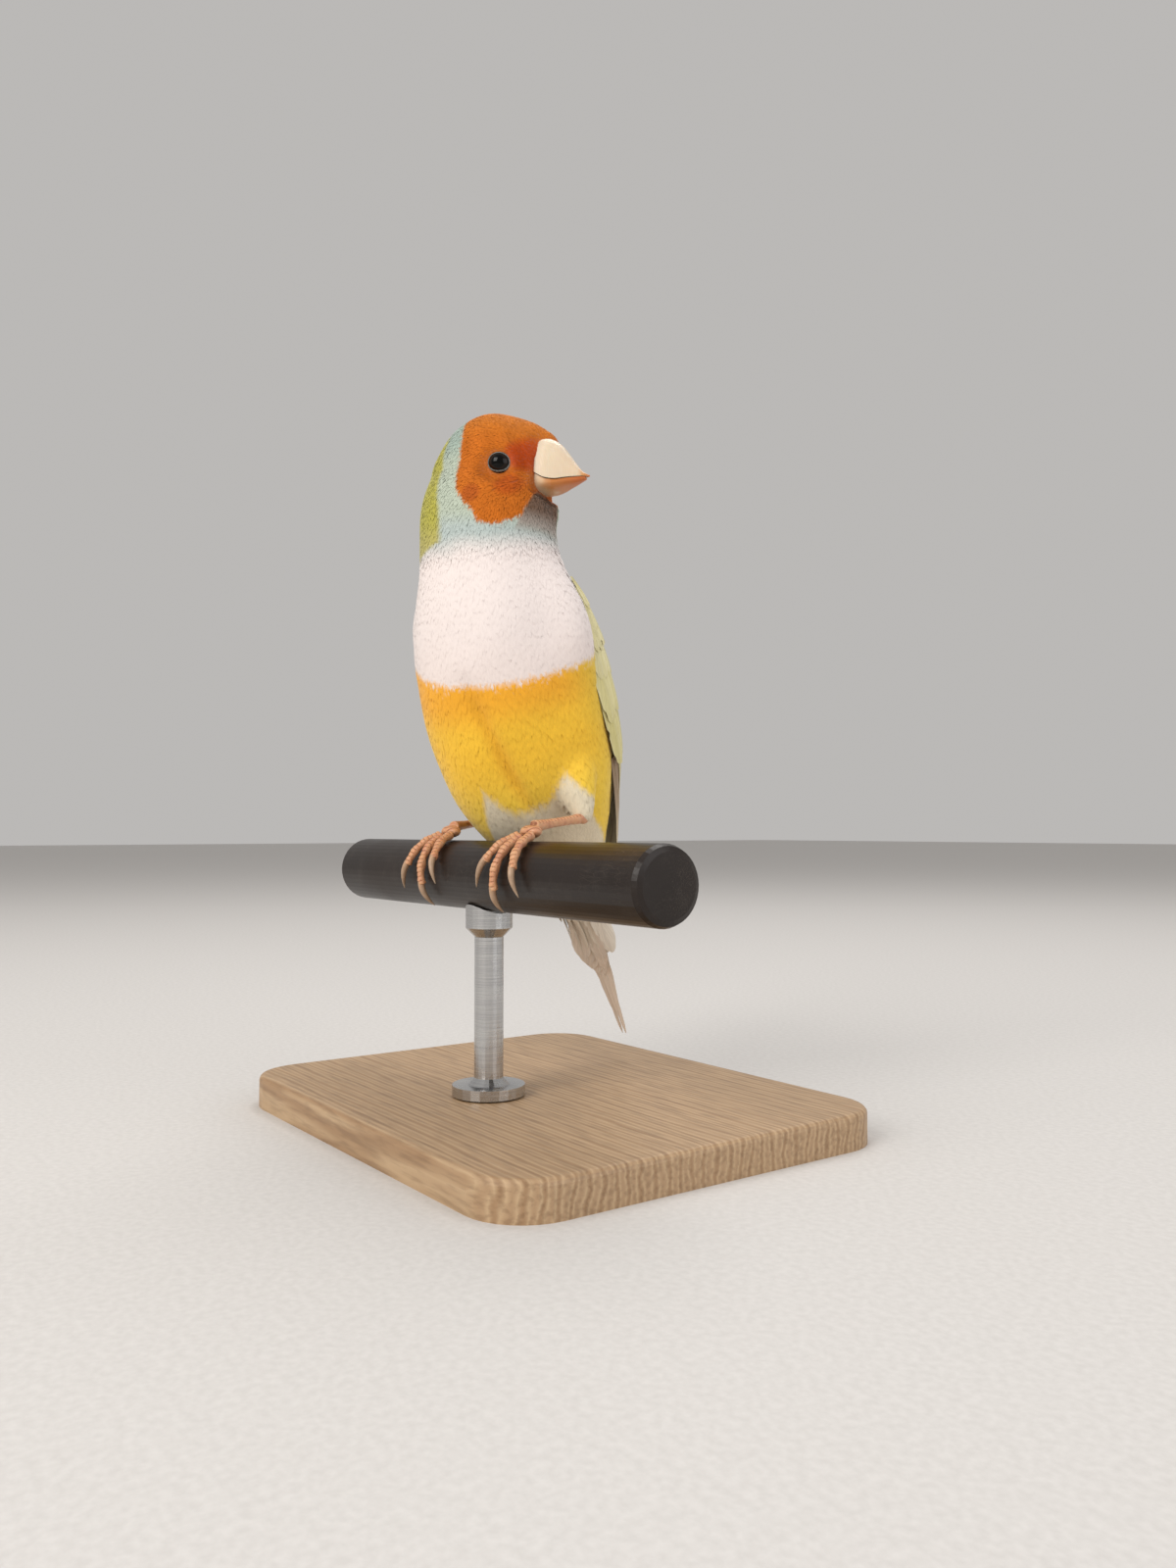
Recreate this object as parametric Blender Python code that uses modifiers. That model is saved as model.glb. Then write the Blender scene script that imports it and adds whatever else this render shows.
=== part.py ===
"""Gouldian finch, life size: it grips a short cut length of a round perch on a plain display stand.

Sizes are in millimetres and are turned into metres as each mesh is made. The bird is laid out in
its own frame: back (behind the perch), left (the bird's left) and up (above the perch's axis).
"""
import math

import bmesh
import bpy
from mathutils import Matrix, Vector

MM = 0.001
GAP = 0.3

# Stand and perch
BASE_SIZE = (96.0, 78.0, 6.0)
BASE_CORNER = 10.0
BASE_EDGE = 1.0
ROD_RADIUS = 2.6
ROD_FLANGE = (6.5, 1.8)
ROD_SADDLE = (4.2, 5.0)
PERCH_RADIUS = 6.25
PERCH_LENGTH = 100.0
PERCH_EDGE = 1.2
PERCH_Y = -12.0
PERCH_Z = 45.0
PERCH_X = -2.0

# Where the bird's middle plane crosses the perch, and how far the body is turned from square to it
MIDDLE_X = PERCH_X + 2.4
BODY_TURN = math.radians(24.0)

# The body from the neck to the tail: back, up, left, half width, half depth
BODY = [
    (1.2, 76.0, -0.7, 6.4, 5.6),
    (0.8, 73.0, -0.8, 9.9, 7.4),
    (0.3, 69.0, -0.9, 12.0, 10.3),
    (0.2, 65.0, -1.0, 12.6, 11.9),
    (0.4, 61.0, -1.0, 12.8, 12.6),
    (1.0, 55.5, -0.8, 13.5, 13.5),
    (2.6, 48.5, -0.7, 15.4, 15.6),
    (5.2, 40.5, -0.8, 16.7, 17.2),
    (8.6, 32.0, -0.8, 17.1, 17.8),
    (11.9, 23.5, -0.5, 16.6, 17.2),
    (15.6, 16.0, 0.0, 14.9, 15.3),
    (19.6, 9.5, 0.5, 12.2, 12.2),
    (23.4, 3.6, 1.0, 9.2, 8.8),
    (26.4, -1.4, 1.4, 6.8, 5.4),
    (28.8, -6.4, 1.7, 5.8, 3.2),
    (31.6, -11.4, 2.2, 5.6, 2.0),
    (34.3, -16.4, 2.7, 5.6, 1.6),
]
HEAD_CUT = 4.0
NECK_CUT = 5.1
TAIL_CUT = 12.7
BODY_SIDES = 28

# Head: centre, the way the bill points, and the skull's sections along it:
# ahead of the centre, middle's height, half height, half width
HEAD_BACK, HEAD_UP = 1.6, 72.6
HEAD_TURN = math.radians(124.0)
HEAD_PITCH = math.radians(3.0)
SKULL = [
    (-11.3, 0.0, 2.8, 2.6),
    (-10.1, 0.2, 5.5, 5.2),
    (-7.0, 0.5, 8.6, 7.8),
    (-2.7, 0.7, 10.5, 9.2),
    (1.2, 0.7, 10.6, 9.8),
    (4.6, 0.4, 9.6, 8.9),
    (7.6, 0.1, 7.8, 7.0),
    (9.7, 0.1, 6.4, 5.6),
    (9.6, 0.0, 1.2, 1.1),
]
SKULL_SIDES = 24
# The forehead leans forward over the bill's base: by how much for each unit of height above the
# first value, and where along the head that starts and is full
FOREHEAD_LEAN, LEAN_ABOVE = 0.55, 1.5
LEAN_FROM, LEAN_FULL = 2.0, 9.5

# Eye, on both sides of the skull: ahead, up, and how far out its centre lies
EYE_AHEAD, EYE_UP, EYE_OUT = 4.4, -0.3, 8.0
EYE_RADIUS = 2.1
EYE_SPLAY = math.radians(13.0)
LID_RADIUS, LID_THICKNESS, LID_OUT = 1.9, 0.5, 1.35

# Bill, on the skull's front: ahead, culmen, mouth line, under edge, half width
BILL = [
    (9.2, 5.5, -0.7, -4.4, 4.5),
    (10.8, 5.55, -1.75, -4.1, 4.2),
    (12.6, 4.8, -1.9, -3.4, 3.4),
    (14.0, 3.2, -1.55, -2.85, 2.6),
    (15.3, 1.65, -1.25, -2.45, 1.8),
    (16.6, 0.15, -1.0, -1.85, 1.0),
    (17.4, -0.4, -0.95, -1.5, 0.55),
]
BILL_TIP = (18.1, -0.95)
BILL_FULLNESS = 0.7
BILL_SIDES = 10
BILL_LOWER_WIDTH = 0.94
NOSTRIL = (11.4, 3.5, 2.8, 0.42)

# Folded wing's arm and hand, which the feathers grow from: place along the body, angle of the
# lower edge, angle of the upper edge, thickness
WING = [
    (5.85, 112.0, 136.0, 0.6),
    (6.4, 102.0, 148.0, 1.2),
    (7.4, 89.0, 159.0, 1.5),
    (8.6, 88.0, 167.0, 1.5),
    (9.8, 98.0, 170.0, 1.2),
    (10.8, 106.0, 168.0, 0.8),
]
WING_ACROSS = 5

# Rows of wing feathers, the inner layers first: how many, then for the lowest and for the highest
# feather its root (place, angle), its tip (place, angle), its width, and its lift at root and tip
WING_ROWS = [
    ("primary", 6, ((9.6, 101.0), (14.1, 154.0), 4.4, (0.8, 0.75)),
     ((9.4, 136.0), (12.7, 163.0), 4.6, (0.9, 1.15))),
    ("secondary", 4, ((8.6, 112.0), (12.0, 137.0), 4.8, (1.0, 1.5)),
     ((8.6, 148.0), (12.0, 162.0), 5.0, (1.1, 1.6))),
    ("tertial", 3, ((8.3, 148.0), (11.9, 156.0), 5.4, (1.2, 2.1)),
     ((8.0, 163.0), (10.9, 170.0), 5.6, (1.2, 2.1))),
    ("greater covert", 6, ((7.6, 94.0), (9.7, 104.0), 5.2, (1.0, 1.8)),
     ((7.6, 158.0), (9.7, 164.0), 5.6, (1.1, 2.3))),
    ("median covert", 6, ((6.8, 97.0), (8.5, 96.0), 5.2, (0.9, 2.1)),
     ((6.8, 152.0), (8.4, 158.0), 5.4, (0.9, 2.3))),
    ("lesser covert", 5, ((6.25, 108.0), (7.5, 101.0), 5.0, (0.8, 2.0)),
     ((6.25, 142.0), (7.4, 150.0), 5.2, (0.8, 2.2))),
]
FLIGHT_OUTLINE = ((0.0, 0.5), (0.3, 0.9), (0.62, 1.0), (0.87, 0.72), (1.0, 0.16))
COVERT_OUTLINE = ((0.0, 0.6), (0.5, 1.0), (0.84, 0.76), (1.0, 0.22))
VANE_THICKNESS = 0.5
VANE_LEAN = 0.1

# Tail: the end of its fleshy root, and its feathers in pairs from the middle one outwards:
# length from the root's cut, width, turn away from the middle line, drop below the middle pair
TAIL_ROOT_END = 14.3
TAIL_SIDES = 20
TAIL_PAIRS = [
    (38.6, 3.4, 0.8, 0.0),
    (24.0, 4.6, 2.6, 0.45),
    (23.2, 4.8, 4.8, 0.8),
    (22.2, 4.8, 7.0, 1.15),
    (21.0, 4.8, 9.2, 1.5),
    (19.6, 4.8, 11.4, 1.85),
]
TAIL_SET_IN = 1.0
LONG_OUTLINE = ((0.0, 0.9), (0.3, 1.0), (0.55, 0.95), (0.72, 0.62), (0.9, 0.34), (1.0, 0.12))
# Coverts over and under the tail's root: how many, spread of angles, root and tip, width, lift
TAIL_COVERTS = [
    (4, (142.0, 218.0), (13.0, 15.1), 4.6, (-0.9, -0.35)),
    (5, (-46.0, 46.0), (13.0, 15.9), 4.6, (-0.8, 0.1)),
]

# Leg: the foot's place along the perch, ankle (x, y, up), and where the thigh enters the body
LEGS = {
    "left": {"foot": 16.3, "ankle": (14.0, 12.2, 10.3), "hip": (8.0, 10.5, 22.0), "out": 1.0},
    "right": {"foot": -11.0, "ankle": (-18.4, 11.4, 9.8), "hip": (14.0, -10.5, 22.0), "out": -1.0},
}
TARSUS_RADIUS = 0.85
TOE_RADIUS = 0.8
TOE_GRIP = PERCH_RADIUS + GAP + TOE_RADIUS
# Toes: start across the foot, end across the foot, first and last angle round the perch
TOES = {
    "inner": (-1.9, -4.6, 14.0, 66.0),
    "middle": (0.0, -1.2, 20.0, 104.0),
    "outer": (1.9, 4.6, 14.0, 76.0),
    "hind": (-0.3, -1.2, -42.0, -108.0),
}
TOE_JOINTS = {"inner": 2, "middle": 3, "outer": 3, "hind": 1}
CLAW_LENGTH = 4.6
CLAW_RADIUS = 0.55


def remove_everything():
    """Take the objects out of the scene that the script starts in."""
    for old in list(bpy.data.objects):
        bpy.data.objects.remove(old, do_unlink=True)


def new_collection(name):
    """Make a collection and link it to the scene."""
    group = bpy.data.collections.new(name)
    bpy.context.scene.collection.children.link(group)
    return group


def new_material(name, colour, roughness, metallic=0.0):
    """Principled material of one plain colour."""
    material = bpy.data.materials.new(name)
    material.use_nodes = True
    shader = material.node_tree.nodes["Principled BSDF"]
    shader.inputs["Base Color"].default_value = (*colour, 1.0)
    shader.inputs["Roughness"].default_value = roughness
    shader.inputs["Metallic"].default_value = metallic
    material.diffuse_color = (*colour, 1.0)
    return material


def add_object(name, mesh, material, group, smooth=True):
    """Link a mesh as a named object of one material."""
    thing = bpy.data.objects.new(name, mesh)
    mesh.materials.clear()
    if material:
        mesh.materials.append(material)
    group.objects.link(thing)
    if smooth:
        mesh.shade_smooth()
        mesh.set_sharp_from_angle(angle=math.radians(40.0))
    return thing


def mesh_from(bm, name):
    """Turn a bmesh in millimetres into a mesh in metres, its faces outwards."""
    bmesh.ops.recalc_face_normals(bm, faces=bm.faces)
    bmesh.ops.scale(bm, vec=(MM, MM, MM), verts=bm.verts)
    mesh = bpy.data.meshes.new(name)
    bm.to_mesh(mesh)
    bm.free()
    return mesh


def loft(rings, name):
    """Closed skin over rings that all have the same number of points, with a face at each end."""
    bm = bmesh.new()
    rows = [[bm.verts.new(point) for point in ring] for ring in rings]
    count = len(rows[0])
    for row, after in zip(rows, rows[1:]):
        for i in range(count):
            j = (i + 1) % count
            bm.faces.new((row[i], row[j], after[j], after[i]))
    bm.faces.new(rows[0])
    bm.faces.new(reversed(rows[-1]))
    return mesh_from(bm, name)


def blend(rows, place):
    """Smooth values at a place along a list of rows, 0 at the first and 1 more at each next one."""
    last = len(rows) - 1
    i = min(max(int(math.floor(place)), 0), last - 1)
    u = place - i
    before, start = rows[max(i - 1, 0)], rows[i]
    end, after = rows[i + 1], rows[min(i + 2, last)]
    if u < 0.0 or u > 1.0:
        return tuple(a + (b - a) * u for a, b in zip(start, end))
    return tuple(
        b + 0.5 * u * (c - a + u * (2 * a - 5 * b + 4 * c - d + u * (3 * (b - c) + d - a)))
        for a, b, c, d in zip(before, start, end, after))


def bird_point(back, left, up):
    """Place a point of the bird's own frame in the part's frame."""
    forward = Vector((math.sin(BODY_TURN), -math.cos(BODY_TURN), 0.0))
    side = Vector((math.cos(BODY_TURN), math.sin(BODY_TURN), 0.0))
    start = Vector((MIDDLE_X, PERCH_Y, PERCH_Z))
    return start - forward * back + side * left + Vector((0.0, 0.0, up))


def body_centre(place):
    """Point on the body's middle line."""
    back, up, left, _, _ = blend(BODY, place)
    return bird_point(back, left, up)


def body_frame(place):
    """Centre, the way to the tail, the bird's left and its back, and the half sizes there."""
    _, _, _, half_width, half_depth = blend(BODY, place)
    step = 0.05
    along = (body_centre(place + step) - body_centre(place - step)).normalized()
    side = bird_point(0.0, 1.0, 0.0) - bird_point(0.0, 0.0, 0.0)
    dorsal = side.cross(along).normalized()
    side = along.cross(dorsal).normalized()
    return body_centre(place), along, side, dorsal, half_width, half_depth


def body_point(place, angle, lift=0.0):
    """Point on the body's surface: angle 0 is the belly, 90 the left side, 180 the back."""
    centre, _, side, dorsal, half_width, half_depth = body_frame(place)
    turn = math.radians(angle)
    return (centre + side * (half_width + lift) * math.sin(turn)
            - dorsal * (half_depth + lift) * math.cos(turn))


def body_ring(place, sides=BODY_SIDES, lift=0.0):
    """Ring of points round the body."""
    return [body_point(place, 360.0 * i / sides, lift) for i in range(sides)]


def step_for(distance, place):
    """How far along the list of rows a distance along the body's middle line is."""
    speed = (body_centre(place + 0.5) - body_centre(place - 0.5)).length
    return distance / speed


def body_length(first, last, rings):
    """Closed length of the body between two places."""
    places = [first + (last - first) * i / (rings - 1) for i in range(rings)]
    return [body_ring(place) for place in places]


def head_axes():
    """The way the bill points, the head's left and its crown."""
    flat = math.cos(HEAD_PITCH)
    ahead = Vector((math.sin(HEAD_TURN) * flat, -math.cos(HEAD_TURN) * flat, -math.sin(HEAD_PITCH)))
    left = Vector((0.0, 0.0, 1.0)).cross(ahead).normalized()
    return ahead, left, ahead.cross(left).normalized()


def head_point(ahead, left, up):
    """Place a point of the head's own frame in the part's frame."""
    axes = head_axes()
    return bird_point(HEAD_BACK, 0.0, HEAD_UP) + axes[0] * ahead + axes[1] * left + axes[2] * up


def face_point(ahead, left, up):
    """Like head_point, with the forehead leaning forward over the bill's base."""
    reach = min(max((ahead - LEAN_FROM) / (LEAN_FULL - LEAN_FROM), 0.0), 1.0)
    return head_point(ahead + FOREHEAD_LEAN * reach * max(up - LEAN_ABOVE, 0.0), left, up)


def fuse(target, pieces):
    """Join closed pieces to a closed body with one union and keep its largest closed surface."""
    tools = bpy.data.collections.new("union pieces")
    for piece in pieces:
        for group in list(piece.users_collection):
            group.objects.unlink(piece)
        tools.objects.link(piece)
    apply_boolean(target, "UNION", tools)
    for piece in pieces:
        bpy.data.objects.remove(piece, do_unlink=True)
    bpy.data.collections.remove(tools)
    keep_largest(target)


def cut(target, tools, operation="DIFFERENCE"):
    """Cut a body with a collection of closed tools and keep its largest closed surface."""
    apply_boolean(target, operation, tools)
    keep_largest(target)


def apply_boolean(target, operation, tools):
    """Run a Boolean with a collection on an object's mesh."""
    modifier = target.modifiers.new("join or cut", "BOOLEAN")
    modifier.operation = operation
    modifier.operand_type = "COLLECTION"
    modifier.collection = tools
    modifier.solver = "MANIFOLD"
    graph = bpy.context.evaluated_depsgraph_get()
    graph.update()
    result = bpy.data.meshes.new_from_object(target.evaluated_get(graph))
    target.modifiers.remove(modifier)
    old = target.data
    target.data = result
    result.name = old.name
    bpy.data.meshes.remove(old)


def keep_largest(target):
    """Drop every closed surface of a mesh but the one with the most volume."""
    bm = bmesh.new()
    bm.from_mesh(target.data)
    left = set(bm.verts)
    shells = []
    while left:
        shell, edge = set(), {next(iter(left))}
        while edge:
            shell |= edge
            edge = {e.other_vert(v) for v in edge for e in v.link_edges} - shell
        left -= shell
        shells.append(shell)
    sizes = [shell_volume(shell) for shell in shells]
    keep = shells[sizes.index(max(sizes))]
    bmesh.ops.delete(bm, geom=[v for v in bm.verts if v not in keep], context="VERTS")
    bm.to_mesh(target.data)
    bm.free()


def shell_volume(shell):
    """Volume inside a set of joined points."""
    faces = {face for vert in shell for face in vert.link_faces}
    total = 0.0
    for face in faces:
        points = [vert.co for vert in face.verts]
        for a, b in zip(points[1:], points[2:]):
            total += points[0].dot(a.cross(b)) / 6.0
    return total


def tube(points, radii, sides, flatten=1.0):
    """Rings round a path, turned with it, for a loft."""
    rings = []
    up = Vector((0.0, 0.0, 1.0))
    for i, point in enumerate(points):
        way = (points[min(i + 1, len(points) - 1)] - points[max(i - 1, 0)]).normalized()
        across = way.cross(up).normalized()
        up = across.cross(way).normalized()
        ring = []
        for k in range(sides):
            turn = 2.0 * math.pi * (k + 0.5) / sides
            ring.append(point + across * math.cos(turn) * radii[i]
                        + up * math.sin(turn) * radii[i] * flatten)
        rings.append(ring)
    return rings


def ball(centre, radius, name, segments=16, rings=10, stretch=(1.0, 1.0, 1.0)):
    """Closed ball, stretched along the frame's axes."""
    bm = bmesh.new()
    bmesh.ops.create_uvsphere(bm, u_segments=segments, v_segments=rings, radius=radius)
    bmesh.ops.scale(bm, vec=stretch, verts=bm.verts)
    bmesh.ops.translate(bm, vec=centre, verts=bm.verts)
    return mesh_from(bm, name)


def make_base(group, material):
    """Flat plate with round corners, its underside on the floor."""
    bm = bmesh.new()
    bmesh.ops.create_cube(bm, size=1.0)
    bmesh.ops.scale(bm, vec=BASE_SIZE, verts=bm.verts)
    bmesh.ops.translate(bm, vec=(0.0, 0.0, BASE_SIZE[2] / 2.0), verts=bm.verts)
    upright = [e for e in bm.edges if abs(e.verts[0].co.z - e.verts[1].co.z) > 1.0]
    bmesh.ops.bevel(bm, geom=upright, offset=BASE_CORNER, segments=8, profile=0.5, affect="EDGES")
    rim = [e for e in bm.edges if min(v.co.z for v in e.verts) > BASE_SIZE[2] - 0.01
           and sum(f.normal.z > 0.5 for f in e.link_faces) == 1]
    bmesh.ops.bevel(bm, geom=rim, offset=BASE_EDGE, segments=3, profile=0.5, affect="EDGES")
    return add_object("stand_base", mesh_from(bm, "stand_base"), material, group)


def make_rod(group, material, perch_cutter):
    """Turned rod with a flange on the base and a saddle cut to the round of the perch."""
    foot = BASE_SIZE[2] + GAP
    top = PERCH_Z - PERCH_RADIUS + 2.0
    profile = [
        (0.0, top), (ROD_SADDLE[0], top), (ROD_SADDLE[0], top - ROD_SADDLE[1]),
        (ROD_RADIUS, top - ROD_SADDLE[1] - 1.6), (ROD_RADIUS, foot + ROD_FLANGE[1] + 1.2),
        (ROD_RADIUS + 1.2, foot + ROD_FLANGE[1]), (ROD_FLANGE[0], foot + ROD_FLANGE[1]),
        (ROD_FLANGE[0], foot), (0.0, foot),
    ]
    bm = bmesh.new()
    dots = [bm.verts.new((x * MM, 0.0, z * MM)) for x, z in profile]
    for start, end in zip(dots, dots[1:]):
        bm.edges.new((start, end))
    mesh = bpy.data.meshes.new("stand_rod")
    bm.to_mesh(mesh)
    bm.free()
    rod = add_object("stand_rod", mesh, material, group, smooth=False)
    screw = rod.modifiers.new("turn", "SCREW")
    screw.steps = 24
    screw.render_steps = 24
    screw.use_merge_vertices = True
    screw.merge_threshold = 0.00001
    graph = bpy.context.evaluated_depsgraph_get()
    graph.update()
    turned = bpy.data.meshes.new_from_object(rod.evaluated_get(graph))
    rod.modifiers.clear()
    rod.data = turned
    turned.transform(Matrix.Translation((0.0, PERCH_Y * MM, 0.0)))
    cut(rod, perch_cutter)
    rod.data.shade_smooth()
    rod.data.set_sharp_from_angle(angle=math.radians(40.0))
    return rod


def perch_mesh(radius, length, edge, name):
    """Round bar along X at the perch's place, its end edges rounded where a size is given."""
    bm = bmesh.new()
    turn = Matrix.Rotation(math.radians(90.0), 4, "Y")
    bmesh.ops.create_cone(bm, cap_ends=True, segments=40, radius1=radius, radius2=radius,
                          depth=length, matrix=turn)
    if edge:
        rims = [e for e in bm.edges if abs(e.verts[0].co.x - e.verts[1].co.x) < 0.01]
        bmesh.ops.bevel(bm, geom=rims, offset=edge, segments=2, profile=0.5, affect="EDGES")
    bmesh.ops.translate(bm, vec=(0.0, PERCH_Y, PERCH_Z), verts=bm.verts)
    return mesh_from(bm, name)


def make_head(group, material, cutters):
    """Skull and upper neck in one piece, with a raised ring of lid round each eye's socket."""
    rings = []
    for ahead, up, half_height, half_width in SKULL:
        turns = [2.0 * math.pi * i / SKULL_SIDES for i in range(SKULL_SIDES)]
        rings.append([face_point(ahead, half_width * math.sin(a), up + half_height * math.cos(a))
                      for a in turns])
    head = add_object("head", loft(rings, "head"), material, group)
    top_of_neck = HEAD_CUT - step_for(GAP, HEAD_CUT)
    pieces = [add_object("upper neck", loft(body_length(top_of_neck, 0.0, 6), "upper neck"),
                         None, cutters)]
    for side in (-1.0, 1.0):
        pieces.append(make_lid(side, cutters))
    fuse(head, pieces)
    tools = bpy.data.collections.new("head cutters")
    below = box_below_cut(top_of_neck)
    add_object("below the head", below, None, tools)
    for side in (-1.0, 1.0):
        centre, _ = eye_place(side)
        add_object("socket", ball(centre, EYE_RADIUS + GAP, "socket", 16, 10), None, tools)
    add_object("bill's bed", bill_bed(), None, tools)
    cut(head, tools)
    drop_collection(tools)
    return head


def box_below_cut(place):
    """Box whose upper face is the flat cut across the body at a place."""
    centre, along, side, dorsal, _, _ = body_frame(place)
    size = 2.5 * max(half_width for _, _, _, half_width, _ in BODY)
    bm = bmesh.new()
    bmesh.ops.create_cube(bm, size=size)
    turn = Matrix((side, dorsal, along)).transposed().to_4x4()
    turn.translation = centre + along * size / 2.0
    bmesh.ops.transform(bm, matrix=turn, verts=bm.verts)
    return mesh_from(bm, "box")


def drop_collection(group):
    """Remove a collection of cutters with its objects."""
    for thing in list(group.objects):
        bpy.data.objects.remove(thing, do_unlink=True)
    bpy.data.collections.remove(group)


def eye_place(side):
    """Centre of an eye and the way it looks."""
    ahead, left, _ = head_axes()
    look = (left * side * math.cos(EYE_SPLAY) + ahead * math.sin(EYE_SPLAY)).normalized()
    return head_point(EYE_AHEAD, EYE_OUT * side, EYE_UP), look


def make_lid(side, group):
    """Ring of bare lid round an eye, sunk into the skull."""
    centre, look = eye_place(side)
    bpy.ops.mesh.primitive_torus_add(major_segments=20, minor_segments=6,
                                     major_radius=LID_RADIUS, minor_radius=LID_THICKNESS)
    made = bpy.context.object
    mesh = made.data
    turn = Vector((0.0, 0.0, 1.0)).rotation_difference(look).to_matrix().to_4x4()
    turn.translation = centre + look * LID_OUT
    mesh.transform(turn)
    mesh.transform(Matrix.Scale(MM, 4))
    bpy.data.objects.remove(made, do_unlink=True)
    return add_object("lid", mesh, None, group)


def bill_ring(row, upper):
    """Section of the upper or the lower half of the bill."""
    ahead, culmen, mouth, under, half_width = row
    flat = mouth if upper else mouth - GAP
    rise = (culmen if upper else under) - flat
    wide = half_width if upper else half_width * BILL_LOWER_WIDTH
    turns = [math.pi * i / BILL_SIDES for i in range(BILL_SIDES + 1)]
    return [head_point(ahead, math.copysign(wide * abs(math.cos(a)) ** BILL_FULLNESS, math.cos(a)),
                       flat + rise * abs(math.sin(a)) ** BILL_FULLNESS) for a in turns]


def bill_bed():
    """The bill's whole shape with a gap all round, in which its base is bedded in the feathers."""
    rings = []
    for i, row in enumerate(BILL):
        ahead, culmen, mouth, under, half_width = row
        above = (ahead, culmen + GAP, mouth, under, half_width + GAP)
        below = (ahead, culmen, mouth + GAP, under - GAP, (half_width + GAP) / BILL_LOWER_WIDTH)
        ring = bill_ring(above, True)[:-1] + bill_ring(below, False)[:0:-1]
        if i == 0:
            back = head_axes()[0] * GAP
            ring = [point - back for point in ring]
        rings.append(ring)
    return loft(rings, "bed")


def make_bill(group, material, cutters):
    """Upper half with its two nostrils, and lower half, with the line of the mouth between."""
    tip_ahead, tip_up = BILL_TIP
    tip = (tip_ahead, tip_up + 0.25, tip_up, tip_up, 0.15)
    upper = add_object("bill_upper", loft([bill_ring(row, True) for row in BILL + [tip]], "bill"),
                       material, group)
    tools = bpy.data.collections.new("nostril cutters")
    ahead, up, left, radius = NOSTRIL
    for side in (-1.0, 1.0):
        hole = ball(head_point(ahead, left * side, up), radius, "nostril", 10, 6)
        add_object("nostril", hole, None, tools)
    cut(upper, tools)
    drop_collection(tools)
    lower = loft([bill_ring(row, False) for row in BILL[:-1]], "bill_lower")
    return upper, add_object("bill_lower", lower, material, group)


def vane(points, normals, outline, width, lean, name):
    """Closed thin feather along a path, split into triangles alike on its two faces."""
    bm = bmesh.new()
    rows = []
    for i, (point, normal) in enumerate(zip(points, normals)):
        along = (points[min(i + 1, len(points) - 1)] - points[max(i - 1, 0)]).normalized()
        across = normal.cross(along).normalized()
        half = width * outline[i][1] / 2.0
        edge = across * half + normal * lean * half
        thick = normal * VANE_THICKNESS / 2.0
        rows.append([bm.verts.new(point + s * edge + t * thick)
                     for s, t in ((-1, 1), (1, 1), (1, -1), (-1, -1))])
    for row, after in zip(rows, rows[1:]):
        bm.faces.new((row[0], row[1], after[1]))
        bm.faces.new((row[0], after[1], after[0]))
        bm.faces.new((row[3], after[2], row[2]))
        bm.faces.new((row[3], after[3], after[2]))
        bm.faces.new((row[1], row[2], after[2], after[1]))
        bm.faces.new((row[3], row[0], after[0], after[3]))
    bm.faces.new(rows[0])
    bm.faces.new(reversed(rows[-1]))
    return mesh_from(bm, name)


def surface_vane(root, tip, lift, outline, width, lean, group, bend=1.0):
    """Feather that follows the body's surface from its root to its tip."""
    points, normals = [], []
    for u, _ in outline:
        place = root[0] + (tip[0] - root[0]) * u
        angle = root[1] + (tip[1] - root[1]) * u ** bend
        height = lift[0] + (lift[1] - lift[0]) * u
        points.append(body_point(place, angle, height))
        normals.append((body_point(place, angle, height + 1.0) - points[-1]).normalized())
    return add_object("vane", vane(points, normals, outline, width, lean, "vane"), None, group)


def mix(low, high, u):
    """Value, or tuple of values, between two."""
    if isinstance(low, tuple):
        return tuple(mix(a, b, u) for a, b in zip(low, high))
    return low + (high - low) * u


def wing_ring(row, side):
    """Section of the folded wing, lying on the body with a gap to it."""
    place, low, high, thickness = row
    angles = [low + (high - low) * i / WING_ACROSS for i in range(WING_ACROSS + 1)]
    inner = [body_point(place, a * side, GAP + 0.1) for a in angles]
    outer = []
    for i, a in enumerate(angles):
        swell = math.sin(math.pi * (0.12 + 0.76 * i / WING_ACROSS))
        outer.append(body_point(place, a * side, GAP + 0.1 + thickness * swell))
    return inner + outer[::-1]


def make_wing(name, side, group, material, cutters):
    """Folded wing: its arm, and rows of overlapping flight feathers and coverts rooted in it."""
    places = [i / 2.0 for i in range(2 * len(WING) - 1)]
    rings = [wing_ring(blend(WING, place), side) for place in places]
    wing = add_object(name, loft(rings, name), material, group)
    feathers = []
    for kind, count, low, high in WING_ROWS:
        outline = COVERT_OUTLINE if "covert" in kind else FLIGHT_OUTLINE
        bend = 1.0 if "covert" in kind else 1.5
        for i in range(count):
            root, tip, width, lift = mix(low, high, i / (count - 1))
            root, tip = (root[0], root[1] * side), (tip[0], tip[1] * side)
            feathers.append(surface_vane(root, tip, lift, outline, width, VANE_LEAN * side,
                                         cutters, bend))
    fuse(wing, feathers)
    return wing


def tail_axes():
    """Middle of the tail's cut, the way to its tip, the bird's left and the tail's upper side."""
    centre, _, side, _, _, _ = body_frame(TAIL_CUT)
    along = (body_centre(15.0) - body_centre(13.0)).normalized()
    up = side.cross(along).normalized()
    return centre, along, along.cross(up).normalized(), up


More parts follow.
